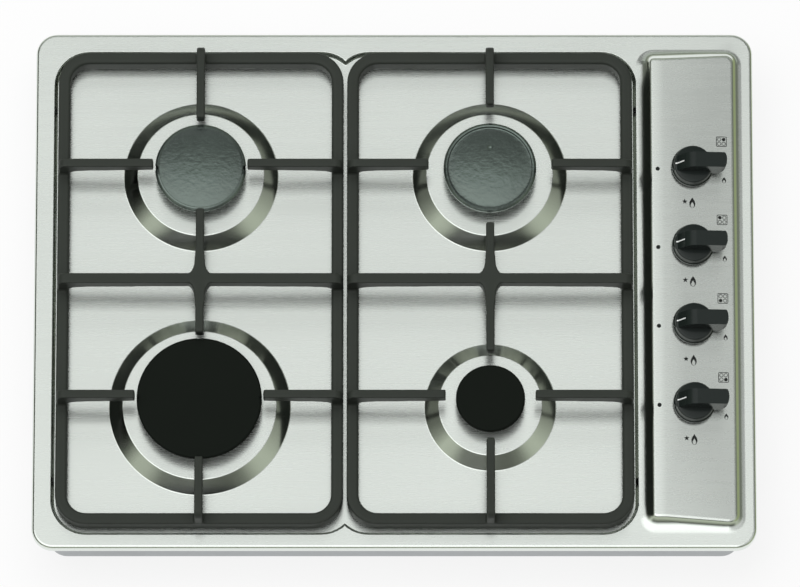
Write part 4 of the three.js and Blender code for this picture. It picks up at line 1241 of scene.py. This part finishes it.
class COOKTOP_OT_caps(Operator):
    """Makes the enamelled burner caps, two of them with notches in their edges"""

    bl_idname = "cooktop.caps"
    bl_label = "Burner caps"

    def execute(self, context):
        s = sizes()
        for name in BURNERS:
            node = f"burner_cap_{name}"
            place, high = middle(node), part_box(node)[1]
            r, under = cap_radius(name) - CAP_INSET, high.z - CAP_THICK
            lip = r - s.cap_overhang - CAP_LIP
            gloss = name.startswith("rear")
            top = high.z - (s.cap_crown if name == "rear_left" else 0.0)
            rim = self.sloping_rim(r, top) if gloss else self.round_rim(r, s.cap_edge, top)
            profile = [
                (0, under),
                (lip - LIP_INSET, under),
                (lip - LIP_INSET, under - LIP_DEPTH),
                (lip, under - LIP_DEPTH),
                (lip, under),
                *placed(CAP_LOWER_EDGE, r, under),
                *rim,
                *self.crown(s, name, r, rim[-1][0], top),
            ]
            slot = "gloss_enamel" if gloss else "black_enamel"
            piece = finished(f"cap_{name}", turned(profile, 128, over(place)), f"cap_{name}",
                             slot, (node,))
            cutter = bmesh.new()
            for degrees in CAP_NOTCHES.get(name, ()):
                joined(cutter, self.notch(s, place, r, math.radians(degrees), top))
            if name == "rear_right":
                joined(cutter, self.dimple(place, high.z))
            if cutter.faces:
                reshaded(cut_away(piece, cutter))
            # The rear left cap's notches get painted shade: their faces are made matt black.
            if name == "rear_left":
                self.paint_notch_shade(s, piece, place, r)
            even_shading(piece)
        return {"FINISHED"}

    def round_rim(self, r, edge, top):
        """A rounded edge, from its upright foot up to the cap's top."""
        turns = [QUARTER_TURN * i / 5 for i in range(5, -1, -1)]
        return [(r - edge + edge * math.sin(a), top - edge + edge * math.cos(a)) for a in turns]

    def sloping_rim(self, r, top):
        """A rounded edge with a sloping band inside it, up to the cap's top."""
        turns = [math.radians(degrees) for degrees in EDGE_TURNS]
        edge, drop = GLOSS_EDGE, math.tan(turns[-1])
        centre = top - GLOSS_BAND * drop - edge * math.cos(turns[-1])
        rim = [(r - edge + edge * math.sin(a), centre + edge * math.cos(a)) for a in turns]
        inner = rim[-1][0] - GLOSS_BAND
        return rim + [(inner + BAND_END, top - BAND_END * drop), (inner, top)]

    def crown(self, s, name, r, start, top):
        """From the cap's edge in to its middle, which is level, raised or raised in a dish."""
        if name == "rear_right":
            crest, reach = top - DISH_DROP, start - DISH_EDGE
            step = placed(DISH_STEP, start, top)
            step += placed(DISH_FOOT, start, crest - s.cap_crown)
        elif name == "rear_left":
            crest, reach = top + s.cap_crown, start - RIDGE_EDGE
            step = placed(RIDGE, start, top)
        else:
            rings = [(r * share, top) for share in FLAT_RINGS]
            return [(start - FLAT_START, top), *rings, (0, top)]
        shares = [1 - i / CROWN_STEPS for i in range(CROWN_STEPS + 1)]
        return step + [(reach * a, crest - s.cap_crown * a * a) for a in shares]

    def notch(self, s, place, r, angle, top):
        """A half-round notch down into a cap's edge."""
        spot = over(place.xy + toward(angle, r))
        return rod(s.notch_radius, top - NOTCH_DEPTH, top + CLEAR, 32, spot)

    def dimple(self, place, top):
        """A small round hollow in the rear part of the dished cap."""
        spot = Matrix.Translation((place.x, place.y + DIMPLE_PLACE, 0))
        return turned([(run, top + rise) for run, rise in DIMPLE], 28, spot)

    def paint_notch_shade(self, s, piece, place, r):
        # Paints the faces round the notches matt black: painted shade for the dark pockets under
        # the cap's edge.
        piece.data.materials.append(finish_named("black_enamel"))
        reach = s.notch_radius + CAP_INSET
        for degrees in CAP_NOTCHES["rear_left"]:
            spot = place.xy + toward(math.radians(degrees), r)
            for face in piece.data.polygons:
                if (face.center.xy - spot).length < reach:
                    face.material_index = 1


class COOKTOP_OT_heads(Operator):
    """Makes the burner heads with their rings of flame ports"""

    bl_idname = "cooktop.heads"
    bl_label = "Burner heads"

    def execute(self, context):
        s = sizes()
        for name, count in FLAME_PORTS.items():
            node = f"burner_head_{name}"
            low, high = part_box(node)
            r = cap_radius(name) - s.cap_overhang
            floor = low.z + HEAD_FLOOR
            sill = floor + PORT_SILL
            bm = turned(self.profile(r, low.z, floor, sill), 3 * count)
            self.raise_teeth(bm, count, sill, high.z - sill)
            piece = finished(f"flame_ring_{name}", moved(bm, over(middle(node))), f"head_{name}",
                             "burner_aluminium", (node,))
            soft_edges(piece, HEAD_SOFTNESS)
        return {"FINISHED"}

    def profile(self, r, foot, floor, sill):
        """The tube for gas and air, the locating step below and the floor with its wall."""
        bottom = floor - HEAD_FLOOR_THICK
        tube, step_foot = MIXING_TUBE + TUBE_WALL, bottom - LOCATOR_DEPTH
        locator = r - HEAD_WALL - LOCATOR_INSET
        return [
            (MIXING_TUBE, foot),
            (tube, foot),
            (tube, step_foot),
            (locator, step_foot),
            (locator, bottom),
            (r - HEAD_CHAMFER, bottom),
            (r, bottom + HEAD_CHAMFER),
            (r, sill),
            (r - HEAD_WALL, sill),
            (r - HEAD_WALL, floor),
            (tube, floor),
            (MIXING_TUBE, floor - TUBE_WALL),
            (MIXING_TUBE, foot),
        ]

    def raise_teeth(self, bm, count, sill, height):
        """Draws up two of every three faces of the wall's top. The third is a port."""
        def third(face):
            centre = face.calc_center_median()
            turn = math.atan2(centre.y, centre.x) % WHOLE_TURN
            return int(turn / WHOLE_TURN * 3 * count) % 3

        ring = [f for f in bm.faces if all(abs(v.co.z - sill) < WELD for v in f.verts)]
        teeth = [f for f in ring if third(f)]
        drawn_out(bm, teeth, (0, 0, height), closed=False)
        bmesh.ops.delete(bm, geom=teeth, context="FACES_ONLY")


class COOKTOP_OT_electrodes(Operator):
    """Makes the spark electrodes: a glazed insulator with its steel pin"""

    bl_idname = "cooktop.electrodes"
    bl_label = "Spark electrodes"

    def execute(self, context):
        for name in BURNERS:
            node = f"spark_electrode_{name}"
            low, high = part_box(node)
            top = high.z - PIN_LENGTH
            profile = [
                (0, low.z),
                (INSULATOR, low.z),
                (INSULATOR, low.z + COLLAR_LOW),
                (COLLAR, low.z + COLLAR_LOW),
                (COLLAR, low.z + COLLAR_HIGH),
                (INSULATOR, low.z + COLLAR_HIGH),
                *placed(INSULATOR_END, 0, top),
                *placed(PIN_END, 0, high.z),
                (0, high.z),
            ]
            piece = finished(f"igniter_{name}", turned(profile, 24, over(middle(node))),
                             "cooktop", "ceramic", (node,))
            piece.data.materials.append(finish_named("pipe_aluminium"))
            for face in piece.data.polygons:
                if face.center.z > top + GLAZED:
                    face.material_index = 1
        return {"FINISHED"}


# ---------------------------------------------------------------- knobs


KNOB_LIFT = 0.003
KNOB_TOP = 0.025
SKIRT_TOP = 0.012
SKIRT_LIP = [(-0.0006, 0.0), (0.0, 0.0006), (0.0, 0.0022), (-0.0007, 0.0028), (-0.0010, 0.0040)]
SKIRT_CREST = [(-0.0013, -0.0012), (-0.0018, -0.0003), (-0.0026, 0.0)]
POINTER_FOOT = Vector((-0.0168, 0.0062))
POINTER_CREST = Vector((-0.0050, KNOB_TOP))
GRIP_BACK = Vector((0.026, KNOB_TOP - 0.004))
GRIP_FOOT = Vector((0.021, POINTER_FOOT.y))
GRIP_BULGE, GRIP_CORNER = 0.0021, 0.0056
POINTER_ROUND, CUTTER_WIDTH = 0.006, 0.04
GRIP_SOFTNESS = {"width": 0.0008, "segments": 3, "angle": 35}
STEM_BORE, BORE_DEPTH = 0.0037, 0.0153
INDEX_START, INDEX_SHORTFALL = 0.0024, 0.0058  # from the skirt's edge, and from the crest
INDEX_WIDTH, PAINT = 0.00095, 0.00012


def knob_skirt(s):
    """The round skirt of a knob, with a lip round its foot."""
    r = s.knob_skirt
    side = placed(SKIRT_LIP, r, KNOB_LIFT) + placed(SKIRT_CREST, r, SKIRT_TOP)
    return turned([(0, KNOB_LIFT), *side, (0, SKIRT_TOP)], 96)


def knob_grip(s):
    """The grip bar of a knob, before its two ends are sloped."""
    half, back = s.knob_grip / 2, GRIP_BACK.x - GRIP_BULGE
    turns = [math.radians(turn) for turn in range(-70, 71, 10)]
    outline = [
        (GRIP_BACK.x - GRIP_BULGE * (1 - math.cos(a)), half * math.sin(a)) for a in turns
    ]
    outline += [(back, half), (POINTER_FOOT.x, half), (POINTER_FOOT.x, -half), (back, -half)]
    place = Matrix.Translation((0, 0, POINTER_FOOT.y))
    corner = len(turns) + 1
    rounding = {corner: GRIP_CORNER, corner + 1: GRIP_CORNER}
    return prism(outline, KNOB_TOP - POINTER_FOOT.y, place, rounding, 6)


def side_cutter(outline, roundings=None, steps=5):
    """What is cut off a grip bar over its whole width, from its side view."""
    return prism(outline, CUTTER_WIDTH, upright(0, (0, 0, 0), CUTTER_WIDTH), roundings, steps)


def grip_undercut():
    """What is cut off a grip bar under its leaning back end."""
    below, beyond = GRIP_FOOT.y - CLEAR, GRIP_BACK.x + 10 * CLEAR
    return side_cutter([
        (GRIP_FOOT.x, below),
        (beyond, below),
        (beyond, GRIP_BACK.y),
        tuple(GRIP_BACK),
        tuple(GRIP_FOOT),
    ])


def pointer_slope():
    """What is cut off a grip bar above its sloping pointer end."""
    above, beyond = KNOB_TOP + 10 * CLEAR, 0.03
    outline = [
        (-beyond, above),
        (-beyond, POINTER_FOOT.y),
        tuple(POINTER_FOOT),
        tuple(POINTER_CREST),
        (beyond, KNOB_TOP),
        (beyond, above),
    ]
    return side_cutter(outline, {3: POINTER_ROUND}, 8)


def index_line(s):
    """The white line that runs over a knob's skirt and up its pointer end."""
    along = (POINTER_CREST - POINTER_FOOT).normalized()
    on_slope = POINTER_FOOT + along * ((SKIRT_TOP - POINTER_FOOT.y) / along.y)
    start = Vector((-s.knob_skirt + INDEX_START, SKIRT_TOP))
    bm = painted_stretch(start, on_slope)
    joined(bm, painted_stretch(on_slope, POINTER_CREST - along * INDEX_SHORTFALL))
    return bm


def painted_stretch(start, end):
    """A narrow strip of paint between two points of a knob's side view."""
    way = (end - start).normalized()
    centre, out = (start + end) / 2, Vector((-way.y, 0, way.x)) * PAINT
    bm = bmesh.new()
    bmesh.ops.create_grid(bm, x_segments=4, y_segments=1, size=0.5)
    bmesh.ops.scale(bm, vec=((end - start).length, INDEX_WIDTH, 1), verts=bm.verts[:])
    turn = Matrix.Rotation(-math.atan2(way.y, way.x), 3, "Y")
    bmesh.ops.rotate(bm, cent=(0, 0, 0), matrix=turn, verts=bm.verts[:])
    bmesh.ops.translate(bm, vec=Vector((centre.x, 0, centre.y)) + out, verts=bm.verts[:])
    drawn_out(bm, bm.faces[:], out * -2)
    return bm


class COOKTOP_OT_knobs(Operator):
    """Makes the four knobs with their white index lines"""

    bl_idname = "cooktop.knobs"
    bl_label = "Knobs"

    def execute(self, context):
        s = sizes()
        for index, name in enumerate(STATIONS):
            body, matrix = f"turning_{name}", station_matrix(index)
            piece = finished(f"control_{name}", knob_grip(s), body, "knob_plastic",
                             (f"knob_{name}",))
            cut_away(piece, pointer_slope())
            cut_away(piece, grip_undercut())
            combined(piece, knob_skirt(s), "UNION")
            cut_away(piece, rod(STEM_BORE, -CLEAR, BORE_DEPTH, 32))
            piece.data.transform(matrix)
            soft_edges(reshaded(piece), **GRIP_SOFTNESS)
            finished(f"index_{name}", moved(index_line(s), matrix), body, "index_paint")
        return {"FINISHED"}


# ---------------------------------------------------------------- printed marks


BURNER_ICON, ICON_WIDTH, ICON_LINE = (0.0241, 0.0228), 0.0086, 0.00055
ICON_PITCH, ICON_DISC, ICON_RING = 0.42, 0.34, 0.38  # shares of half the icon's width
OFF_DOT, DOT_RADIUS = (-0.0276, -0.0010), 0.0017
SMALL_FLAME, SMALL_FLAME_SIZE = (0.0260, -0.0097), Vector((0.0031, 0.0052))
LARGE_FLAME, LARGE_FLAME_SIZE = (0.0001, -0.0292), Vector((0.0046, 0.0092))
SPARK_STAR, STAR_RADIUS, STAR_WAIST = (-0.0060, -0.0283), 0.0023, 0.45
FLAME_DROPS = ((1.0, 0.0), (0.56, -0.20))  # share of the size, and shift along it
FLAME_TAPER, FLAME_BULGE = 3, 1.15
RING_LINE = ICON_LINE * 0.8


def ring_outline(bm, face, line):
    """Leaves only a band of a given width along a face's edge."""
    stepped(bm, face, [(line, 0.0)])
    opened(bm, face)


def printed_disc(bm, place, radius, steps=24, line=None):
    """A filled disc, or a ring where a line's width is given."""
    spot = Matrix.Translation((*place, 0))
    made = bmesh.ops.create_circle(bm, cap_ends=True, segments=steps, radius=radius, matrix=spot)
    if line:
        ring_outline(bm, made["verts"][0].link_faces[0], line)
    return made["verts"]


def printed_star(bm, place, radius):
    """A star with five points."""
    inner = printed_disc(bm, place, radius, 10)[1::2]
    about = Matrix.Translation((-place[0], -place[1], 0))
    bmesh.ops.scale(bm, vec=(STAR_WAIST, STAR_WAIST, 1), verts=inner, space=about)


def printed_flame(bm, place, size):
    """A flame: a drop with a pointed top and a smaller clear drop low inside it."""
    drops = []
    for share, shift in FLAME_DROPS:
        centre = Vector((place[0], place[1] + shift * size.y, 0))
        made = bmesh.ops.create_circle(bm, cap_ends=False, segments=28, radius=0.5)["verts"]
        for vert in made:
            rise = vert.co.y + 0.5
            vert.co.x *= (1 - rise ** FLAME_TAPER) * FLAME_BULGE
            vert.co = Vector((vert.co.x * size.x, vert.co.y * size.y, 0)) * share + centre
        drops += {edge for vert in made for edge in vert.link_edges}
    bmesh.ops.triangle_fill(bm, edges=drops, use_beauty=True, normal=(0, 0, 1))


def burner_icon(bm, station):
    """Four rings in a round-cornered square; the one of the knob's own burner is filled."""
    half = ICON_WIDTH / 2
    x, y = BURNER_ICON
    face = rounded_face(bm, x - half, x + half, y - half, y + half, 0, half / 4, 4)
    ring_outline(bm, face, ICON_LINE)
    for name in BURNERS:
        side = 1 if name.endswith("right") else -1
        end = 1 if name.startswith("rear") else -1
        spot = (x + side * half * ICON_PITCH, y + end * half * ICON_PITCH)
        if name == station:
            printed_disc(bm, spot, half * ICON_DISC, 20)
        else:
            printed_disc(bm, spot, half * ICON_RING, 20, RING_LINE)


class COOKTOP_OT_marks(Operator):
    """Prints the marks beside the knobs: off dots, flames, ignition stars and burner icons"""

    bl_idname = "cooktop.marks"
    bl_label = "Printed marks"

    def execute(self, context):
        s = sizes()
        for index, name in enumerate(STATIONS):
            on_fall = bmesh.new()
            burner_icon(on_fall, name)
            printed_flame(on_fall, SMALL_FLAME, SMALL_FLAME_SIZE)
            printed_flame(on_fall, LARGE_FLAME, LARGE_FLAME_SIZE)
            printed_star(on_fall, SPARK_STAR, STAR_RADIUS)
            on_strip = bmesh.new()
            printed_disc(on_strip, OFF_DOT, DOT_RADIUS)
            strip = Matrix.Translation(
                (s.knob_axis, s.knob_rear - index * s.knob_pitch, s.rim_top + s.panel_rise)
            )
            sink = Matrix.Translation((0, 0, -s.print_height / 2))
            both = bmesh.new()
            for bm, matrix in ((on_fall, station_matrix(index)), (on_strip, strip)):
                bmesh.ops.recalc_face_normals(bm, faces=bm.faces[:])
                drawn_out(bm, bm.faces[:], (0, 0, 1.5 * s.print_height))
                joined(both, moved(bm, matrix @ sink))
            finished(f"marks_{name}", both, "cooktop", "printed_ink")
        return {"FINISHED"}


# ---------------------------------------------------------------- inner parts


INNER_FINISHES = {
    "burner_cup": "burner_aluminium",
    "injector": "brass",
    "valve_stem": "brass",
    "valve_plug": "brass",
    "gas_valve": "brass",
    "burner_pipe": "pipe_aluminium",
    "gas_manifold": "pipe_aluminium",
    "gas_inlet": "brass",
    "spark_module": "module_plastic",
}


class COOKTOP_OT_inner_parts(Operator):
    """Gives the carried-over CAD nodes their procedural finishes"""

    bl_idname = "cooktop.inner_parts"
    bl_label = "Inner parts"

    def execute(self, context):
        for name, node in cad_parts.items():
            for start, finish in INNER_FINISHES.items():
                if name.startswith(start):
                    node.data.materials.clear()
                    node.data.materials.append(finish_named(finish))
        return {"FINISHED"}


# ---------------------------------------------------------------- stage


FLOOR_HALF, FLOOR_LEVEL, FLOOR_GLOW = 6, -0.0003, 0.86
SCREEN_LENGTH = 1.2
SCREENS = {  # place along X, height of the middle, height of the screen, colour
    "dark_flag": (-0.62, 0.185, 0.15, (0.0, 0.0, 0.0)),
    "olive_screen": (0.62, 0.07, 0.16, (0.32, 0.36, 0.20)),
}
LAMP_SIZE, LAMP_POWER = (2.2, 1.6), 33.0
LAMP_PLACE, LAMP_AIM = Vector((-0.35, 0.35, 2.0)), Vector((0, 0, 0.06))
CAMERA_TILT, CAMERA_DISTANCE = math.radians(16.5), 8.0
CAMERA_AIM = Vector((0.0046, -0.0036, 0.060))
PIXELS_PER_MM, IMAGE_WIDTH, SENSOR = 1.2428, 800, 36.0

# What metal and enamel mirror, by the ray's direction: X, Y and Z of a unit vector.
OVERHEAD = 1.56  # level of the soft light straight above
HORIZON, HORIZON_SHADE = [(0.0, 1.0), (0.31, 0.0)], (0.50, 0.53, 0.43, 1)
HORIZON_FRONT = 0.32  # how far the horizon's glow reaches up towards the front
SHELF, SHELF_SHADE = [(0.34, 0.0), (0.42, 0.8), (0.56, 0.8), (0.66, 0.0)], (0.62, 0.66, 0.60, 1)
SHELF_REAR = [(0.35, 0.0), (0.60, 1.0)]
CEILING_EDGE = [(0.0, 0.0), (0.60, 0.0), (0.82, 1.0)]
CEILING_RIGHT = [(0.05, 1.0), (0.20, 0.45)]
CEILING_REAR = [(0.235, OVERHEAD), (0.33, 0.16), (0.46, 0.20), (0.58, 0.80)]
PLAIN_LIGHT = [(0.05, 0.14), (0.70, 0.52)]  # for rough surfaces, over Z
WALL_TINT = (1.0, 1.06, 0.88)
WALL_LEVELS = [  # round the horizon as shares of a turn: left, front, right, rear and left again
    (0.00, 0.12), (0.04, 0.25), (0.075, 0.50), (0.11, 0.42), (0.15, 0.11), (0.19, 0.06),
    (0.25, 0.06), (0.32, 0.07), (0.36, 0.15), (0.40, 0.46), (0.43, 0.50), (0.47, 0.38),
    (0.50, 0.28), (0.55, 0.17), (0.60, 0.12), (0.66, 0.10), (0.75, 0.16), (0.80, 0.14),
    (0.85, 0.11), (0.90, 0.12), (0.95, 0.13), (0.98, 0.13), (1.00, 0.14),
]


def in_mirrors(t, path):
    """1 for the rays by which metal, enamel and glass show what is round them."""
    return t.calc("MAXIMUM", path["Is Glossy Ray"], path["Is Transmission Ray"])


class COOKTOP_OT_stage(Operator):
    """Makes the pale floor, the soft studio light and the camera"""

    bl_idname = "cooktop.stage"
    bl_label = "Stage"

    def execute(self, context):
        scene = context.scene
        scene.view_settings.view_transform = "Standard"
        self.floor()
        for name, values in SCREENS.items():
            self.screen(name, *values)
        scene.world = self.world()
        self.lamp()
        scene.camera = self.camera()
        return {"FINISHED"}

    def floor(self):
        bm = bmesh.new()
        bmesh.ops.create_grid(bm, x_segments=1, y_segments=1, size=FLOOR_HALF)
        floor = in_scene("floor", mesh_of(bm, "floor"))
        floor.location.z = FLOOR_LEVEL
        floor.data.materials.append(self.floor_finish())

    def screen(self, name, x, z, height, shade):
        """An upright screen beside the cooktop, which only metal and enamel mirror."""
        bm = bmesh.new()
        bmesh.ops.create_grid(bm, x_segments=1, y_segments=1, size=0.5)
        bmesh.ops.scale(bm, vec=(height, SCREEN_LENGTH, 1), verts=bm.verts[:])
        moved(bm, Matrix.Translation((x, 0, z)) @ Matrix.Rotation(QUARTER_TURN, 4, "Y"))
        screen = in_scene(name, mesh_of(bm, name))
        screen.visible_camera = False
        screen.visible_diffuse = False
        screen.visible_shadow = False
        material, t = new_material(f"{name}_cloth")
        t.show(t.add("ShaderNodeEmission", Color=(*shade, 1), Strength=1.0))
        screen.data.materials.append(material)

    def floor_finish(self):
        """To the camera and to mirrors it glows pale with a shadow. To other rays it is matt."""
        material, t = new_material("pale_floor")
        path = t.nodes.new("ShaderNodeLightPath").outputs
        diffuse = t.add("ShaderNodeBsdfDiffuse", Color=(*colours().backdrop, 1))
        glow = t.add("ShaderNodeEmission", Color=(1, 1, 1, 1), Strength=1.0)
        mix = t.nodes.new("ShaderNodeMixShader")
        seen = t.calc("MAXIMUM", path["Is Camera Ray"], in_mirrors(t, path))
        t.feed(mix, 0, t.times(seen, FLOOR_GLOW))
        t.feed(mix, 1, diffuse.outputs[0])
        t.feed(mix, 2, glow.outputs[0])
        t.show(mix)
        return material

    def world(self):
        """White to the camera, a studio to metal and enamel, and plain light to the rest."""
        world = bpy.data.worlds.new("studio")
        world.use_nodes = True
        t = Tree(world.node_tree)
        path = t.nodes.new("ShaderNodeLightPath").outputs
        place = t.nodes.new("ShaderNodeTexCoord").outputs["Generated"]
        way = t.add("ShaderNodeSeparateXYZ", Vector=place).outputs
        low, high = self.studio_walls(t, way), self.studio_ceiling(t, way)
        studio = t.blend(t.ramp(way["Z"], CEILING_EDGE), low, high)
        mirrored = t.calc("SUBTRACT", in_mirrors(t, path), path["Diffuse Depth"], clamp=True)
        light = t.blend(mirrored, t.ramp(way["Z"], PLAIN_LIGHT), studio)
        seen = t.blend(path["Is Camera Ray"], light, (1, 1, 1, 1))
        background = t.add("ShaderNodeBackground", Color=seen, Strength=1.0)
        t.show(background, "ShaderNodeOutputWorld")
        return world

    def studio_walls(self, t, way):
        """Uneven walls, a glow along the horizon and a paler shelf at the rear."""
        bearing = t.calc("ARCTAN2", way["Y"], way["X"])
        share = t.plus(t.calc("DIVIDE", bearing, WHOLE_TURN), 0.5)
        stops = [(at, tuple(level * tint for tint in WALL_TINT)) for at, level in WALL_LEVELS]
        walls = t.ramp(share, stops)
        front = t.times(t.calc("MINIMUM", way["Y"], 0.0), HORIZON_FRONT)
        walls = t.blend(t.ramp(t.plus(way["Z"], front), HORIZON), walls, HORIZON_SHADE)
        shelf = t.times(t.ramp(way["Z"], SHELF), t.ramp(way["Y"], SHELF_REAR))
        return t.blend(shelf, walls, SHELF_SHADE)

    def studio_ceiling(self, t, way):
        """Bright straight above, and darker towards the right and the rear."""
        right, rear = t.ramp(way["X"], CEILING_RIGHT), t.ramp(way["Y"], CEILING_REAR)
        return t.vector("MULTIPLY", right, rear)

    def lamp(self):
        light = bpy.data.lights.new("softbox", "AREA")
        light.shape = "RECTANGLE"
        light.size, light.size_y = LAMP_SIZE
        light.energy = LAMP_POWER
        lamp = in_scene("softbox", light)
        lamp.location = LAMP_PLACE
        lamp.rotation_euler = (LAMP_AIM - LAMP_PLACE).to_track_quat("-Z", "Y").to_euler()
        lamp.visible_glossy = False

    def camera(self):
        """Far off with a long lens, tilted from upright towards the front."""
        data = bpy.data.cameras.new("camera")
        data.sensor_width = SENSOR
        data.lens = PIXELS_PER_MM * CAMERA_DISTANCE * 1000 * SENSOR / IMAGE_WIDTH
        data.clip_end = 5 * CAMERA_DISTANCE
        camera = in_scene("camera", data)
        back = Vector((0, -math.sin(CAMERA_TILT), math.cos(CAMERA_TILT)))
        camera.location = CAMERA_AIM + back * CAMERA_DISTANCE
        camera.rotation_euler = (-back).to_track_quat("-Z", "Y").to_euler()
        return camera


# ---------------------------------------------------------------- add-on


OPERATORS = (
    COOKTOP_OT_plate,
    COOKTOP_OT_tray,
    COOKTOP_OT_seal,
    COOKTOP_OT_clamps,
    COOKTOP_OT_supports,
    COOKTOP_OT_feet,
    COOKTOP_OT_caps,
    COOKTOP_OT_heads,
    COOKTOP_OT_electrodes,
    COOKTOP_OT_knobs,
    COOKTOP_OT_marks,
    COOKTOP_OT_inner_parts,
    COOKTOP_OT_stage,
)


class COOKTOP_PT_pieces(Panel):
    """Lists the cooktop's pieces in the sidebar"""

    bl_idname = "COOKTOP_PT_pieces"
    bl_label = "Gas cooktop"
    bl_space_type = "VIEW_3D"
    bl_region_type = "UI"
    bl_category = "Cooktop"

    def draw(self, context):
        for operator in OPERATORS:
            self.layout.operator(operator.bl_idname)
        for group in (context.scene.cooktop_sizes, context.scene.cooktop_colours):
            column = self.layout.column()
            for name in group.__annotations__:
                column.prop(group, name)


CLASSES = (CooktopSizes, CooktopColours, *OPERATORS, COOKTOP_PT_pieces)


def register():
    for each in CLASSES:
        bpy.utils.register_class(each)
    bpy.types.Scene.cooktop_sizes = PointerProperty(type=CooktopSizes)
    bpy.types.Scene.cooktop_colours = PointerProperty(type=CooktopColours)


def unregister():
    del bpy.types.Scene.cooktop_colours
    del bpy.types.Scene.cooktop_sizes
    for each in reversed(CLASSES):
        bpy.utils.unregister_class(each)


def main():
    register()
    for operator in OPERATORS:
        group, name = operator.bl_idname.split(".")
        getattr(getattr(bpy.ops, group), name)()


if __name__ == "__main__":
    main()
